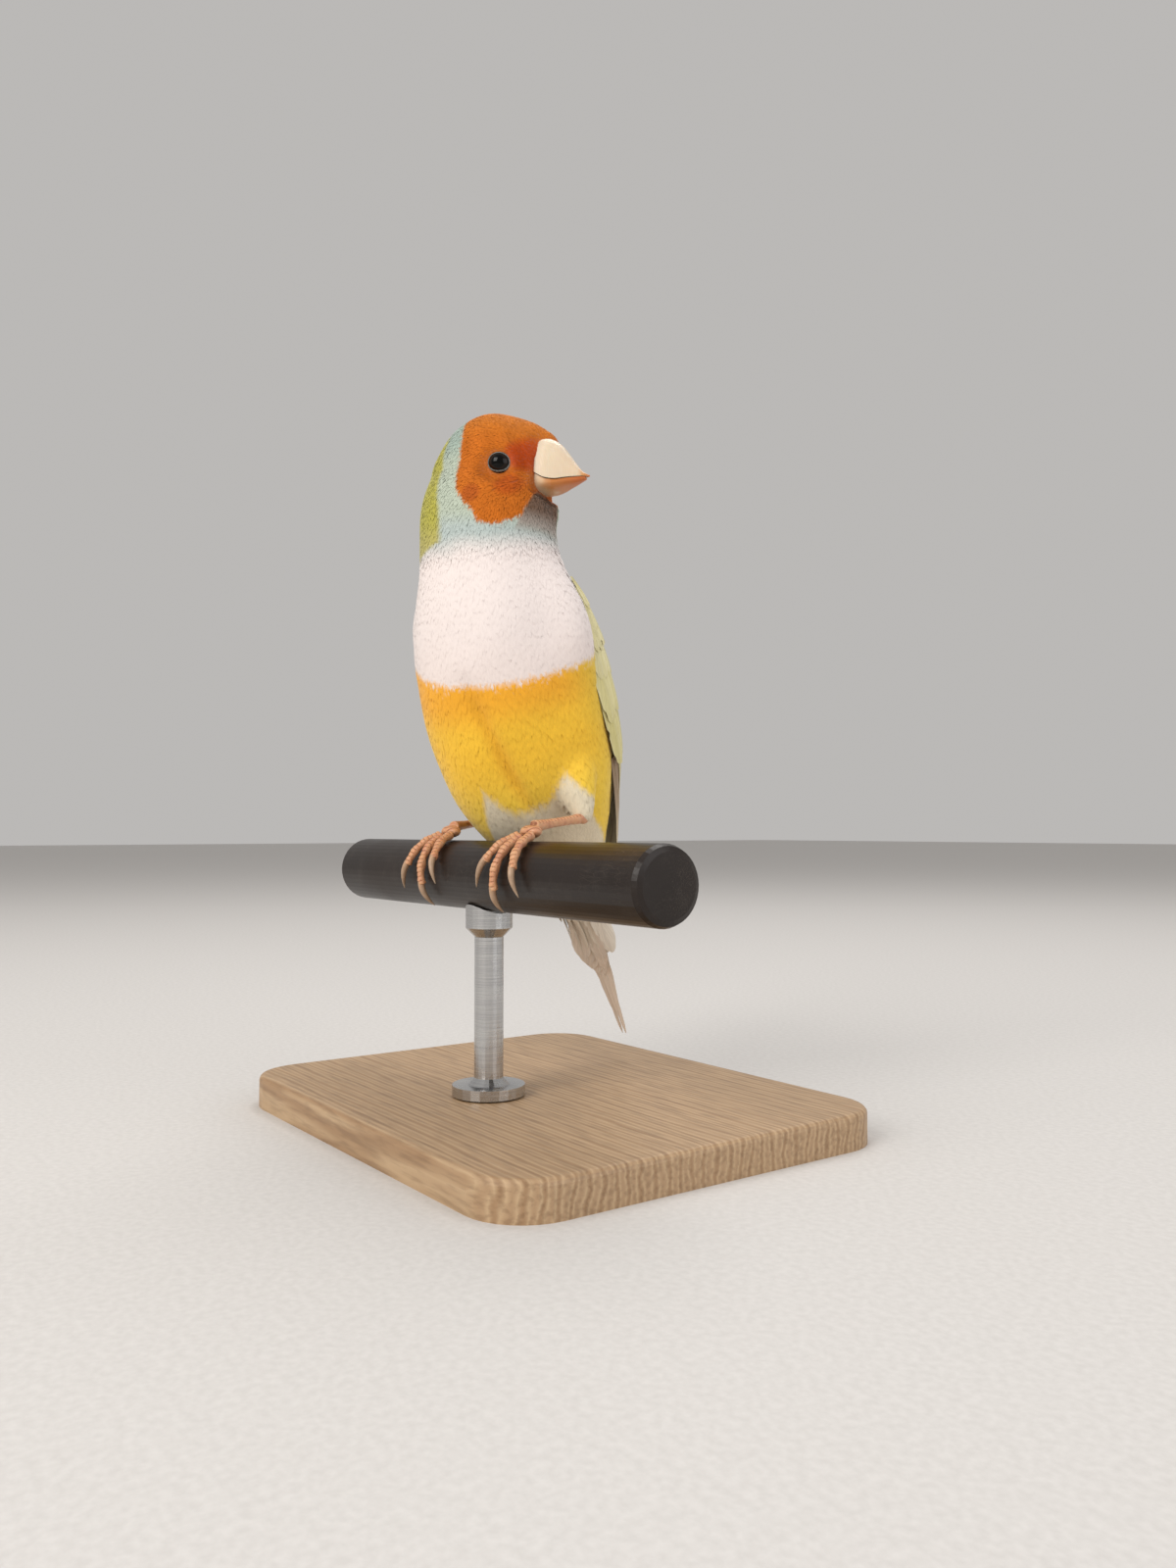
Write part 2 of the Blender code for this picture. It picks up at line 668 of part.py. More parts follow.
def make_tail(group, material, cutters):
    """Fleshy root with its coverts, and six pairs of feathers, the middle pair long and pointed."""
    first = TAIL_CUT + step_for(GAP, TAIL_CUT)
    places = [first + (TAIL_ROOT_END - first) * i / 5.0 for i in range(6)]
    rings = [body_ring(place, TAIL_SIDES, -0.8 * i / 5.0) for i, place in enumerate(places)]
    tail = add_object("tail", loft(rings, "tail"), material, group)
    centre, along, side, up = tail_axes()
    feathers = []
    for pair, (length, width, turn, drop) in enumerate(TAIL_PAIRS):
        outline = LONG_OUTLINE if pair == 0 else FLIGHT_OUTLINE
        for hand in (-1.0, 1.0):
            way = Matrix.Rotation(math.radians(turn * hand), 3, up) @ along
            start = centre + along * 3.0 + side * hand * TAIL_SET_IN - up * (drop + 0.1 * (hand > 0))
            points = [start + way * (length - 3.0) * u for u, _ in outline]
            shape = vane(points, [up] * len(points), outline, width, -VANE_LEAN * hand, "vane")
            feathers.append(add_object("vane", shape, None, cutters))
    for count, spread, reach, width, lift in TAIL_COVERTS:
        for i in range(count):
            angle = mix(spread[0], spread[1], i / (count - 1))
            feathers.append(surface_vane((reach[0], angle), (reach[1], angle), lift,
                                         COVERT_OUTLINE, width, VANE_LEAN, cutters))
    fuse(tail, feathers)
    return tail


def toe_path(foot, out, row, rise, first, last, count):
    """Points of a toe round the perch, from its first to its last angle."""
    start, end, _, _ = row
    points = []
    for i in range(count):
        u = i / (count - 1)
        turn = math.radians(first + (last - first) * u)
        whole = (first + (last - first) * u - row[2]) / (row[3] - row[2])
        across = foot + out * (start + (end - start) * whole)
        points.append(Vector((across + PERCH_X, PERCH_Y - rise * math.sin(turn),
                              PERCH_Z + rise * math.cos(turn))))
    return points


def make_leg(name, leg, group, skin, plumage, horn, cutters, perch_cutter, body_cutter):
    """Thigh, bare shank with the ball of the foot, and four toes with their claws."""
    foot, out = leg["foot"], leg["out"]
    ankle = Vector((leg["ankle"][0] + PERCH_X, leg["ankle"][1] + PERCH_Y, leg["ankle"][2] + PERCH_Z))
    hip = bird_point(*leg["hip"])
    pad = Vector((foot + PERCH_X, PERCH_Y - 0.5, PERCH_Z + TOE_GRIP + 0.5))
    up_leg = (hip - ankle).normalized()
    spots = [ankle + up_leg * (GAP + 1.4) + (hip - ankle) * u for u in (0.0, 0.12, 0.35, 0.65, 1.0)]
    thigh = loft(tube(spots, (1.3, 1.9, 3.0, 3.9, 4.2), 14), "thigh_" + name)
    thigh = add_object("thigh_" + name, thigh, plumage, group)
    cut(thigh, body_cutter)
    way = pad + Vector((0.0, 0.6, 0.9)) - ankle
    start = ankle - way.normalized() * 0.6
    spots = [start, ankle, ankle + way * 0.12, ankle + way * 0.5, ankle + way * 0.86, ankle + way]
    shank = loft(tube(spots, [r * TARSUS_RADIUS for r in (0.9, 1.35, 1.05, 0.92, 1.05, 1.2)], 10),
                 "tarsus_" + name)
    shank = add_object("tarsus_" + name, shank, skin, group)
    fuse(shank, [add_object("pad", ball(pad, 1.0, "pad", 16, 10, (2.6, 1.6, 1.25)), None, cutters)])
    cut(shank, perch_cutter)
    cut(shank, body_cutter)
    for toe, row in TOES.items():
        make_toe(name, toe, row, foot, out, group, skin, horn)


def make_toe(leg_name, toe, row, foot, out, group, skin, horn):
    """One toe, with a pad at each joint, and its claw."""
    first, last = row[2], row[3]
    path = toe_path(foot, out, row, TOE_GRIP, first, last, 11)
    radii = [TOE_RADIUS * (0.9 + 0.1 * math.cos(TOE_JOINTS[toe] * 2.0 * math.pi * i / 10.0))
             * (1.0 - 0.12 * i / 10.0) for i in range(11)]
    name = "toe_" + toe + "_" + leg_name
    add_object(name, loft(tube(path, radii, 8), name), skin, group)
    step = math.copysign(math.degrees(GAP / TOE_GRIP), last - first)
    sweep = math.copysign(math.degrees(CLAW_LENGTH / TOE_GRIP), last - first)
    path = toe_path(foot, out, row, TOE_GRIP + 0.1, last + step, last + step + sweep, 6)
    radii = [CLAW_RADIUS * r for r in (1.0, 1.0, 0.82, 0.6, 0.38, 0.16)]
    name = "claw_" + toe + "_" + leg_name
    add_object(name, loft(tube(path, radii, 8), name), horn, group)


def main():
    """Build every piece."""
    remove_everything()
    parts = new_collection("gouldian finch")
    cutters = new_collection("cutters")
    orange = new_material("orange mask", (0.58, 0.15, 0.02), 0.7)
    pale = new_material("pale collar", (0.45, 0.49, 0.43), 0.75)
    yellow = new_material("yellow belly", (0.80, 0.45, 0.03), 0.75)
    wing_yellow = new_material("wing yellow", (0.55, 0.47, 0.20), 0.6)
    tail_grey = new_material("tail grey", (0.43, 0.34, 0.27), 0.6)
    horn = new_material("bill horn", (0.78, 0.63, 0.48), 0.35)
    skin = new_material("leg skin", (0.50, 0.27, 0.13), 0.5)
    claw = new_material("claw horn", (0.24, 0.16, 0.10), 0.4)
    black = new_material("eye", (0.005, 0.005, 0.005), 0.08)
    plastic = new_material("perch plastic", (0.03, 0.02, 0.015), 0.45)
    wood = new_material("base wood", (0.35, 0.24, 0.14), 0.5)
    steel = new_material("rod steel", (0.6, 0.6, 0.6), 0.3, 1.0)

    perch_cutter = bpy.data.collections.new("perch cutter")
    add_object("perch cutter", perch_mesh(PERCH_RADIUS + GAP, PERCH_LENGTH + 10.0, 0.0, "cutter"),
               None, perch_cutter)
    body_cutter = bpy.data.collections.new("body cutter")
    shell = [body_ring(NECK_CUT + (14.0 - NECK_CUT) * i / 24.0, BODY_SIDES, GAP) for i in range(25)]
    add_object("body cutter", loft(shell, "body cutter"), None, body_cutter)

    make_base(parts, wood)
    make_rod(parts, steel, perch_cutter)
    add_object("perch", perch_mesh(PERCH_RADIUS, PERCH_LENGTH, PERCH_EDGE, "perch"), plastic, parts)

    make_head(parts, orange, cutters)
    for side, name in ((1.0, "eye_left"), (-1.0, "eye_right")):
        add_object(name, ball(eye_place(side)[0], EYE_RADIUS, name, 16, 10), black, parts)
    make_bill(parts, horn, cutters)
    neck = body_length(HEAD_CUT, NECK_CUT - step_for(GAP, NECK_CUT), 4)
    add_object("neck", loft(neck, "neck"), pale, parts)
    add_object("torso", loft(body_length(NECK_CUT, TAIL_CUT, 16), "torso"), yellow, parts)
    make_tail(parts, tail_grey, cutters)
    for side, name in ((1.0, "wing_left"), (-1.0, "wing_right")):
        make_wing(name, side, parts, wing_yellow, cutters)
    for name, leg in LEGS.items():
        make_leg(name, leg, parts, skin, yellow, claw, cutters, perch_cutter, body_cutter)

    drop_collection(perch_cutter)
    drop_collection(body_cutter)
    drop_collection(cutters)


main()
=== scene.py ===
import math

import bmesh
import bpy
import numpy as np
from mathutils import Matrix, Vector


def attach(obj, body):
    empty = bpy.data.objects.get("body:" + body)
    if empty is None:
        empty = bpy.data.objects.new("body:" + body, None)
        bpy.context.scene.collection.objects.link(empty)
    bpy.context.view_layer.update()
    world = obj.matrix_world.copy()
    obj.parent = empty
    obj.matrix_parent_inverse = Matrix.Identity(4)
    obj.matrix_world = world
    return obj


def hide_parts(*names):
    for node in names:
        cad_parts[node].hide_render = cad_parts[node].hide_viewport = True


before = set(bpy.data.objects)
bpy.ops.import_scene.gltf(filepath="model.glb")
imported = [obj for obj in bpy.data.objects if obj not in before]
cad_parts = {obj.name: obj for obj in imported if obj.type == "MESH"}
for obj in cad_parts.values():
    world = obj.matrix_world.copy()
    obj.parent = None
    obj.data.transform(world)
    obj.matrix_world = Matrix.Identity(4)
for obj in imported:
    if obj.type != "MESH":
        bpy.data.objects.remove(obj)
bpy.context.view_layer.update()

# Display stand: the base.
# A flat oiled beech board with round corners, sanded and waxed, which the steel rod is screwed
# down to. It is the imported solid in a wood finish.


def node(tree, kind, inputs=None, **settings):
    """Add a node, set its properties and fill or link its inputs."""
    made = tree.nodes.new(kind)
    for key, value in settings.items():
        setattr(made, key, value)
    for key, value in (inputs or {}).items():
        if isinstance(value, bpy.types.NodeSocket):
            tree.links.new(value, made.inputs[key])
        else:
            made.inputs[key].default_value = value
    return made


def calc(tree, operation, *values):
    """Result of a maths node."""
    return node(tree, "ShaderNodeMath", dict(enumerate(values)), operation=operation).outputs[0]


def vector(tree, operation, first, second):
    """Result of a vector maths node, whose SCALE takes a number."""
    key = "Scale" if operation == "SCALE" else 1
    return node(tree, "ShaderNodeVectorMath", {0: first, key: second}, operation=operation).outputs[0]


def spread(tree, value, low, high, first=0.0, last=1.0):
    """Map a value from first..last to low..high."""
    return node(tree, "ShaderNodeMapRange", {"Value": value, "From Min": first, "From Max": last,
                                             "To Min": low, "To Max": high}).outputs[0]


def noise(tree, place, scale, detail, roughness=0.5):
    """Cloudy value from 0 to 1."""
    return node(tree, "ShaderNodeTexNoise", {"Vector": place, "Scale": scale, "Detail": detail,
                                             "Roughness": roughness}).outputs["Fac"]


def ramp(tree, value, stops):
    """Colour ramp over a value: stops are (place, colour)."""
    made = node(tree, "ShaderNodeValToRGB", {"Fac": value})
    points = made.color_ramp.elements
    while len(points) < len(stops):
        points.new(0.5)
    for point, (place, colour) in zip(points, stops):
        point.position = place
        point.color = (*colour, 1.0)
    return made.outputs["Color"]


def object_place(tree, scale=(1.0, 1.0, 1.0), turn=(0.0, 0.0, 0.0)):
    """Object coordinates, turned and stretched."""
    place = node(tree, "ShaderNodeTexCoord").outputs["Object"]
    return node(tree, "ShaderNodeMapping", {"Vector": place, "Scale": scale, "Rotation": turn}).outputs[0]


def mixed(tree, factor, first, second, way="MIX"):
    """Mix two colours."""
    made = node(tree, "ShaderNodeMix", data_type="RGBA", blend_type=way)
    for socket, value in ((made.inputs[0], factor), (made.inputs[6], first), (made.inputs[7], second)):
        if isinstance(value, bpy.types.NodeSocket):
            tree.links.new(value, socket)
        else:
            socket.default_value = value if isinstance(value, float) else (*value, 1.0)
    return made.outputs[2]


def new_group(name, kind, inputs, outputs):
    """Empty node group, what it is given, and the sockets that take its results."""
    tree = bpy.data.node_groups.new(name, kind + "NodeTree")
    for way, sockets in (("INPUT", inputs), ("OUTPUT", outputs)):
        for socket, sort in sockets.items():
            tree.interface.new_socket(socket, in_out=way, socket_type="NodeSocket" + sort)
    return tree, node(tree, "NodeGroupInput").outputs, node(tree, "NodeGroupOutput").inputs


def new_finish(name, values=()):
    """Principled material with constants set on the shader's own sockets, and its tree."""
    finish = bpy.data.materials.new(name)
    finish.use_nodes = True
    for socket, value in dict(values).items():
        finish.node_tree.nodes["Principled BSDF"].inputs[socket].default_value = value
    return finish, finish.node_tree


def surface(tree, colour, rough=None, bump=None):
    """Link a colour, a roughness spread over a range, and a bump of a height, strength and depth."""
    inputs = tree.nodes["Principled BSDF"].inputs
    tree.links.new(colour, inputs["Base Color"])
    if rough:
        tree.links.new(spread(tree, *rough), inputs["Roughness"])
    if bump:
        raised = node(tree, "ShaderNodeBump", dict(zip(("Height", "Strength", "Distance"), bump)))
        tree.links.new(raised.outputs["Normal"], inputs["Normal"])


def wear_group():
    """Dust and fine scratches, for the steel and the plastic."""
    tree, given, out = new_group(
        "dust and scratches", "Shader",
        {"Place": "Vector", "Scratch Size": "Float", "Dust Size": "Float"},
        {"Scratches": "Float", "Dust": "Float"})
    place, fine = given["Place"], given["Scratch Size"]
    bent = node(tree, "ShaderNodeTexNoise",
                {"Vector": place, "Scale": given["Dust Size"], "Detail": 3.0}).outputs
    moved = vector(tree, "ADD", place, vector(tree, "SCALE", bent["Color"], 0.0012))
    lines = node(tree, "ShaderNodeTexVoronoi",
                 {"Vector": vector(tree, "MULTIPLY", moved, (1.0, 14.0, 5.0)), "Scale": fine},
                 feature="DISTANCE_TO_EDGE").outputs["Distance"]
    kept = calc(tree, "MULTIPLY", spread(tree, lines, 1.0, 0.0, 0.0, 0.018),
                spread(tree, bent["Fac"], 0.0, 1.0, 0.55, 0.7))
    tree.links.new(kept, out["Scratches"])
    specks = noise(tree, place, fine, 5.0, 0.7)
    tree.links.new(spread(tree, specks, 0.0, 1.0, 0.52, 0.72), out["Dust"])
    return tree


def worn(tree, scratch_size, dust_size):
    """Scratches and dust of one finish."""
    return node(tree, "ShaderNodeGroup",
                {"Place": object_place(tree), "Scratch Size": scratch_size, "Dust Size": dust_size},
                node_tree=dust_and_scratches).outputs


def dress(name, finish):
    """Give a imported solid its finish."""
    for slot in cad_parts[name].material_slots:
        slot.material = finish


dust_and_scratches = wear_group()
beech, tree = new_finish("waxed beech")
rings = node(tree, "ShaderNodeTexWave",
             {"Vector": object_place(tree, (6.0, 60.0, 60.0), (0.1, 0.0, 0.04)), "Scale": 2.2,
              "Distortion": 5.0, "Detail": 3.0, "Detail Scale": 1.2}, bands_direction="Y")
fleck = noise(tree, object_place(tree, (140.0, 1400.0, 1400.0)), 1.0, 3.0)
grain = ramp(tree, rings.outputs["Fac"], [(0.0, (0.42, 0.27, 0.15)), (0.55, (0.52, 0.36, 0.21)),
                                         (1.0, (0.36, 0.22, 0.115))])
flecks = ramp(tree, fleck, [(0.35, (0.55, 0.5, 0.45)), (0.55, (1.0, 1.0, 1.0))])
surface(tree, mixed(tree, 0.5, grain, flecks, "MULTIPLY"), (fleck, 0.38, 0.6), (fleck, 0.25, 0.0001))
dress("stand_base", beech)

# Display stand: the rod.
# A turned steel rod with a flange below and a saddle above that is milled to the round of the
# perch. The turning marks run round it.

steel, tree = new_finish("turned steel", {"Metallic": 1.0})
turning = noise(tree, object_place(tree, (120.0, 120.0, 9000.0)), 1.0, 2.0)
surface(tree, ramp(tree, turning, [(0.3, (0.42, 0.42, 0.43)), (0.7, (0.6, 0.6, 0.59))]),
        (worn(tree, 120.0, 60.0)["Dust"], 0.24, 0.42), (turning, 0.2, 0.00005))
dress("stand_rod", steel)

# Perch.
# A cut length of round dark brown plastic bar, moulded with a matt skin. Claws have left fine
# pale scratches along it, and its ends are eased.

plastic, tree = new_finish("dark brown plastic", {"Specular IOR Level": 0.32})
wear = worn(tree, 260.0, 75.0)
cloud = noise(tree, object_place(tree), 60.0, 4.0)
brown = ramp(tree, cloud, [(0.3, (0.012, 0.0075, 0.0055)), (0.7, (0.02, 0.0125, 0.009))])
brown = mixed(tree, wear["Scratches"], brown, (0.11, 0.085, 0.065))
brown = mixed(tree, calc(tree, "MULTIPLY", wear["Dust"], 0.06), brown, (0.2, 0.17, 0.14))
surface(tree, brown, (cloud, 0.3, 0.44, 0.3, 0.7),
        (noise(tree, object_place(tree), 2600.0, 2.0), 0.35, 0.00004))
dress("perch", plastic)

# Skin of the bird.
# One closed skin for head, neck, body and both thighs, a coat's depth inside the solids, with no
# seam. It is drawn over sections along the spine and along the skull, in millimetres, and is
# painted with the markings that the feathers over it carry too.

MM = 0.001
SPINE = np.array([
    (1.2, 76.0, -0.7, 6.4, 5.6), (0.8, 73.0, -0.8, 9.9, 7.4), (0.3, 69.0, -0.9, 12.0, 10.3),
    (0.2, 65.0, -1.0, 12.6, 11.9), (0.4, 61.0, -1.0, 12.8, 12.6), (1.0, 55.5, -0.8, 13.5, 13.5),
    (2.6, 48.5, -0.7, 15.4, 15.6), (5.2, 40.5, -0.8, 16.7, 17.2), (8.6, 32.0, -0.8, 17.1, 17.8),
    (11.9, 23.5, -0.5, 16.6, 17.2), (15.6, 16.0, 0.0, 14.9, 15.3), (19.6, 9.5, 0.5, 12.2, 12.2),
    (23.4, 3.6, 1.0, 9.2, 8.8), (26.4, -1.4, 1.4, 6.8, 5.4), (28.8, -6.4, 1.7, 5.8, 3.2),
    (31.6, -11.4, 2.2, 5.6, 2.0), (34.3, -16.4, 2.7, 5.6, 1.6)])
PERCH_AXIS = np.array((0.4, -12.0, 45.0))
BODY_TURN = math.radians(24.0)
AHEAD = np.array((math.sin(BODY_TURN), -math.cos(BODY_TURN), 0.0))
LEFT = np.array((math.cos(BODY_TURN), math.sin(BODY_TURN), 0.0))
UP = np.array((0.0, 0.0, 1.0))
HEAD_MIDDLE = PERCH_AXIS - 1.6 * AHEAD + 72.6 * UP
HEAD_TURN, HEAD_PITCH = math.radians(124.0), math.radians(3.0)
BILL_WAY = np.array((math.sin(HEAD_TURN) * math.cos(HEAD_PITCH),
                     -math.cos(HEAD_TURN) * math.cos(HEAD_PITCH), -math.sin(HEAD_PITCH)))
HEAD_LEFT = np.cross(UP, BILL_WAY) / np.linalg.norm(np.cross(UP, BILL_WAY))
CROWN_WAY = np.cross(BILL_WAY, HEAD_LEFT)
SKULL = np.array([
    (-11.3, 0.0, 2.8, 2.6), (-10.1, 0.2, 5.5, 5.2), (-7.0, 0.5, 8.6, 7.8), (-2.7, 0.7, 10.5, 9.2),
    (1.2, 0.7, 10.6, 9.8), (4.6, 0.4, 9.6, 8.9), (7.6, 0.1, 7.8, 7.0), (9.7, 0.0, 6.2, 5.6)])
EYE = {side: HEAD_MIDDLE + 4.0 * BILL_WAY + side * 7.5 * HEAD_LEFT - 0.17 * CROWN_WAY
       for side in (1.0, -1.0)}
EYE_SPLAY = math.radians(13.0)
LOOK = {side: side * math.cos(EYE_SPLAY) * HEAD_LEFT + math.sin(EYE_SPLAY) * BILL_WAY for side in EYE}
RING_POINTS = 48
SKIN_VOXEL = 0.00055


def unit(vectors):
    """Vectors of length one."""
    return vectors / np.maximum(np.linalg.norm(vectors, axis=-1, keepdims=True), 1e-9)


def step(value, first, last):
    """Smooth step from 0 to 1 between two values."""
    u = np.clip((value - first) / (last - first), 0.0, 1.0)
    return u * u * (3.0 - 2.0 * u)


def between(rows, place):
    """Smooth values at places along a list of sections."""
    place = np.atleast_1d(np.asarray(place, dtype=float))
    last = len(rows) - 1
    i = np.clip(np.floor(place).astype(int), 0, last - 1)
    u = (place - i)[:, None]
    a, b, c, d = rows[np.maximum(i - 1, 0)], rows[i], rows[i + 1], rows[np.minimum(i + 2, last)]
    curve = b + 0.5 * u * (c - a + u * (2 * a - 5 * b + 4 * c - d + u * (3 * (b - c) + d - a)))
    return np.where((u < 0) | (u > 1), b + (c - b) * u, curve)


def spine_point(place):
    """Point on the middle line of the body."""
    back, up, left, _, _ = between(SPINE, place).T
    return PERCH_AXIS - np.outer(back, AHEAD) + np.outer(left, LEFT) + np.outer(up, UP)


def spine_frame(place):
    """Middle, way to the tail, left side, back and half sizes at places along the body."""
    place = np.atleast_1d(np.asarray(place, dtype=float))
    along = unit(spine_point(place + 0.05) - spine_point(place - 0.05))
    back = unit(np.cross(LEFT, along))
    side = unit(np.cross(along, back))
    sizes = between(SPINE, place)
    return spine_point(place), along, side, back, sizes[:, 3:4], sizes[:, 4:5]


def on_body(place, angle, lift=0.0):
    """Points on the body: angle 0 is the belly, 90 the left side, 180 the back."""
    middle, _, side, back, wide, deep = spine_frame(place)
    turn = np.radians(np.atleast_1d(angle))[:, None]
    lift = np.atleast_1d(lift)[:, None]
    return middle + side * (wide + lift) * np.sin(turn) - back * (deep + lift) * np.cos(turn)


def on_head(ahead, left, up):
    """Points in the head's own frame."""
    return HEAD_MIDDLE + np.outer(ahead, BILL_WAY) + np.outer(left, HEAD_LEFT) + np.outer(up, CROWN_WAY)


def on_face(ahead, left, up):
    """Points of the face, whose forehead leans forward over the bill's base."""
    reach = np.clip((ahead - 2.0) / 7.5, 0.0, 1.0) * np.exp(-(left / 2.4) ** 2)
    return on_head(ahead + 0.7 * reach * np.maximum(up - 1.5, 0.0), left, up)


def head_place(points):
    """Ahead, left and up in the head's frame."""
    away = points - HEAD_MIDDLE
    return away @ BILL_WAY, away @ HEAD_LEFT, away @ CROWN_WAY


def body_place(points):
    """Place along the spine and angle round it."""
    stops = np.arange(-2.5, 16.5, 0.04)
    middle, along, side, back, wide, deep = spine_frame(stops)
    place, angle = np.empty(len(points)), np.empty(len(points))
    for start in range(0, len(points), 8000):
        some = points[start:start + 8000]
        away = some[:, None, :] - middle[None]
        ahead = np.abs(np.einsum("ijk,jk->ij", away, along))
        near = np.argmin(ahead + 100.0 * (np.linalg.norm(away, axis=2) > 30.0), axis=1)
        rows = np.arange(len(some))
        gap = away[rows, near]
        place[start:start + 8000] = stops[near]
        angle[start:start + 8000] = np.degrees(np.arctan2(
            np.sum(gap * side[near], axis=1) / wide[near, 0],
            -np.sum(gap * back[near], axis=1) / deep[near, 0]))
    return place, angle


def loft(bm, rings):
    """Add a closed tube through rings with equal counts of points to a bmesh."""
    rows = [[bm.verts.new(point * MM) for point in ring] for ring in rings]
    count = len(rows[0])
    for row, after in zip(rows, rows[1:]):
        for i in range(count):
            j = (i + 1) % count
            bm.faces.new((row[i], row[j], after[j], after[i]))
    bm.faces.new(rows[0])
    bm.faces.new(reversed(rows[-1]))


def new_piece(name, mesh, finish=None, smooth=False):
    """Link a mesh as an object of the scene."""
    thing = bpy.data.objects.new(name, mesh)
    bpy.context.scene.collection.objects.link(thing)
    if finish:
        mesh.materials.clear()
        mesh.materials.append(finish)
    if smooth:
        mesh.shade_smooth()
    return thing


def mesh_of(bm, name):
    """Turn a bmesh into a mesh whose faces point outwards."""
    bmesh.ops.recalc_face_normals(bm, faces=bm.faces)
    mesh = bpy.data.meshes.new(name)
    bm.to_mesh(mesh)
    bm.free()
    return mesh


def applied(thing):
    """Turn an object's modifiers into plain mesh."""
    graph = bpy.context.evaluated_depsgraph_get()
    graph.update()
    old, thing.data = thing.data, bpy.data.meshes.new_from_object(thing.evaluated_get(graph))
    thing.modifiers.clear()
    bpy.data.meshes.remove(old)
    return thing.data


def one_skin(thing, voxel, factor, times):
    """Grow the closed tubes of a mesh into one soft skin."""
    remesh = thing.modifiers.new("one skin", "REMESH")
    remesh.mode = "VOXEL"
    remesh.voxel_size = voxel
    remesh.use_smooth_shade = True
    soften = thing.modifiers.new("soften", "SMOOTH")
    soften.factor = factor
    soften.iterations = times
    return applied(thing)


def read(items, key, width=3, kind=float):
    """One property of all the items of a mesh, as an array with a row for each item."""
    flat = np.empty(len(items) * width, dtype=np.float32 if kind is float else np.int32)
    items.foreach_get(key, flat)
    return flat.reshape(-1, width).astype(kind) if width > 1 else flat.astype(kind)


def points_of(mesh):
    """The points of a mesh, in millimetres."""
    return read(mesh.vertices, "co") / MM


def move_points(mesh, points):
    """Put the points of a mesh, in millimetres, in new places."""
    mesh.vertices.foreach_set("co", (points * MM).astype(np.float32).ravel())
    mesh.update()


def store_points(mesh, name, values):
    """Store an attribute on a mesh's points."""
    values = np.asarray(values, dtype=np.float32)
    kind, key = ("FLOAT_VECTOR", "vector") if values.ndim == 2 else ("FLOAT", "value")
    layer = mesh.attributes.get(name) or mesh.attributes.new(name, kind, "POINT")
    layer.data.foreach_set(key, values.ravel())


def thigh_rings(ankle, hip):
    """Sections of a feathered thigh, from just above the ankle to its root in the flank."""
    up_leg = unit(hip - ankle)
    spots = [ankle - up_leg * 0.7 + (hip - ankle) * u for u in (0.0, 0.12, 0.35, 0.65, 1.0)]
    across = unit(np.cross(up_leg, UP))
    other = np.cross(across, up_leg)
    turns = np.linspace(0.0, 2.0 * math.pi, 24, endpoint=False)[:, None]
    return [spot + radius * (across * np.cos(turns) + other * np.sin(turns))
            for spot, radius in zip(spots, (1.05, 1.7, 2.6, 3.4, 3.7))]


bm = bmesh.new()
turns = np.linspace(0.0, 360.0, RING_POINTS, endpoint=False)
loft(bm, [on_body(place, turns, -0.4 - 0.35 * step(place, 2.5, 5.5))
          for place in np.arange(0.1, 13.9, 0.3)])
skull_rings = []
for ahead, up, high, wide in between(SKULL, np.linspace(0.0, len(SKULL) - 1.0, 30)):
    high, wide = max(high - 0.45, 0.8), max(wide - 0.5, 0.8)
    ahead -= 0.4 * ahead / 9.7
    turn = np.radians(turns)
    skull_rings.append(on_face(ahead, wide * np.sin(turn), up + high * np.cos(turn)))
loft(bm, skull_rings)
ANKLE = {1.0: np.array((12.0, 0.2, 55.3)), -1.0: np.array((-20.4, -0.6, 54.8))}
for side, hip in ((1.0, (8.0, 10.5, 22.0)), (-1.0, (14.0, -10.5, 22.0))):
    loft(bm, thigh_rings(ANKLE[side], PERCH_AXIS - hip[0] * AHEAD + hip[1] * LEFT + hip[2] * UP))
skin = new_piece("skin", mesh_of(bm, "skin"))
one_skin(skin, SKIN_VOXEL, 0.6, 14)


def midline(place):
    """Angle at which the groove along the belly lies."""
    return 8.0 + 8.2 * (place - 7.3)


def bell(*terms):
    """Bell-shaped share, 1 where every value is at its middle: terms are (value, middle, width)."""
    return np.exp(-sum(((value - middle) / width) ** 2 for value, middle, width in terms))


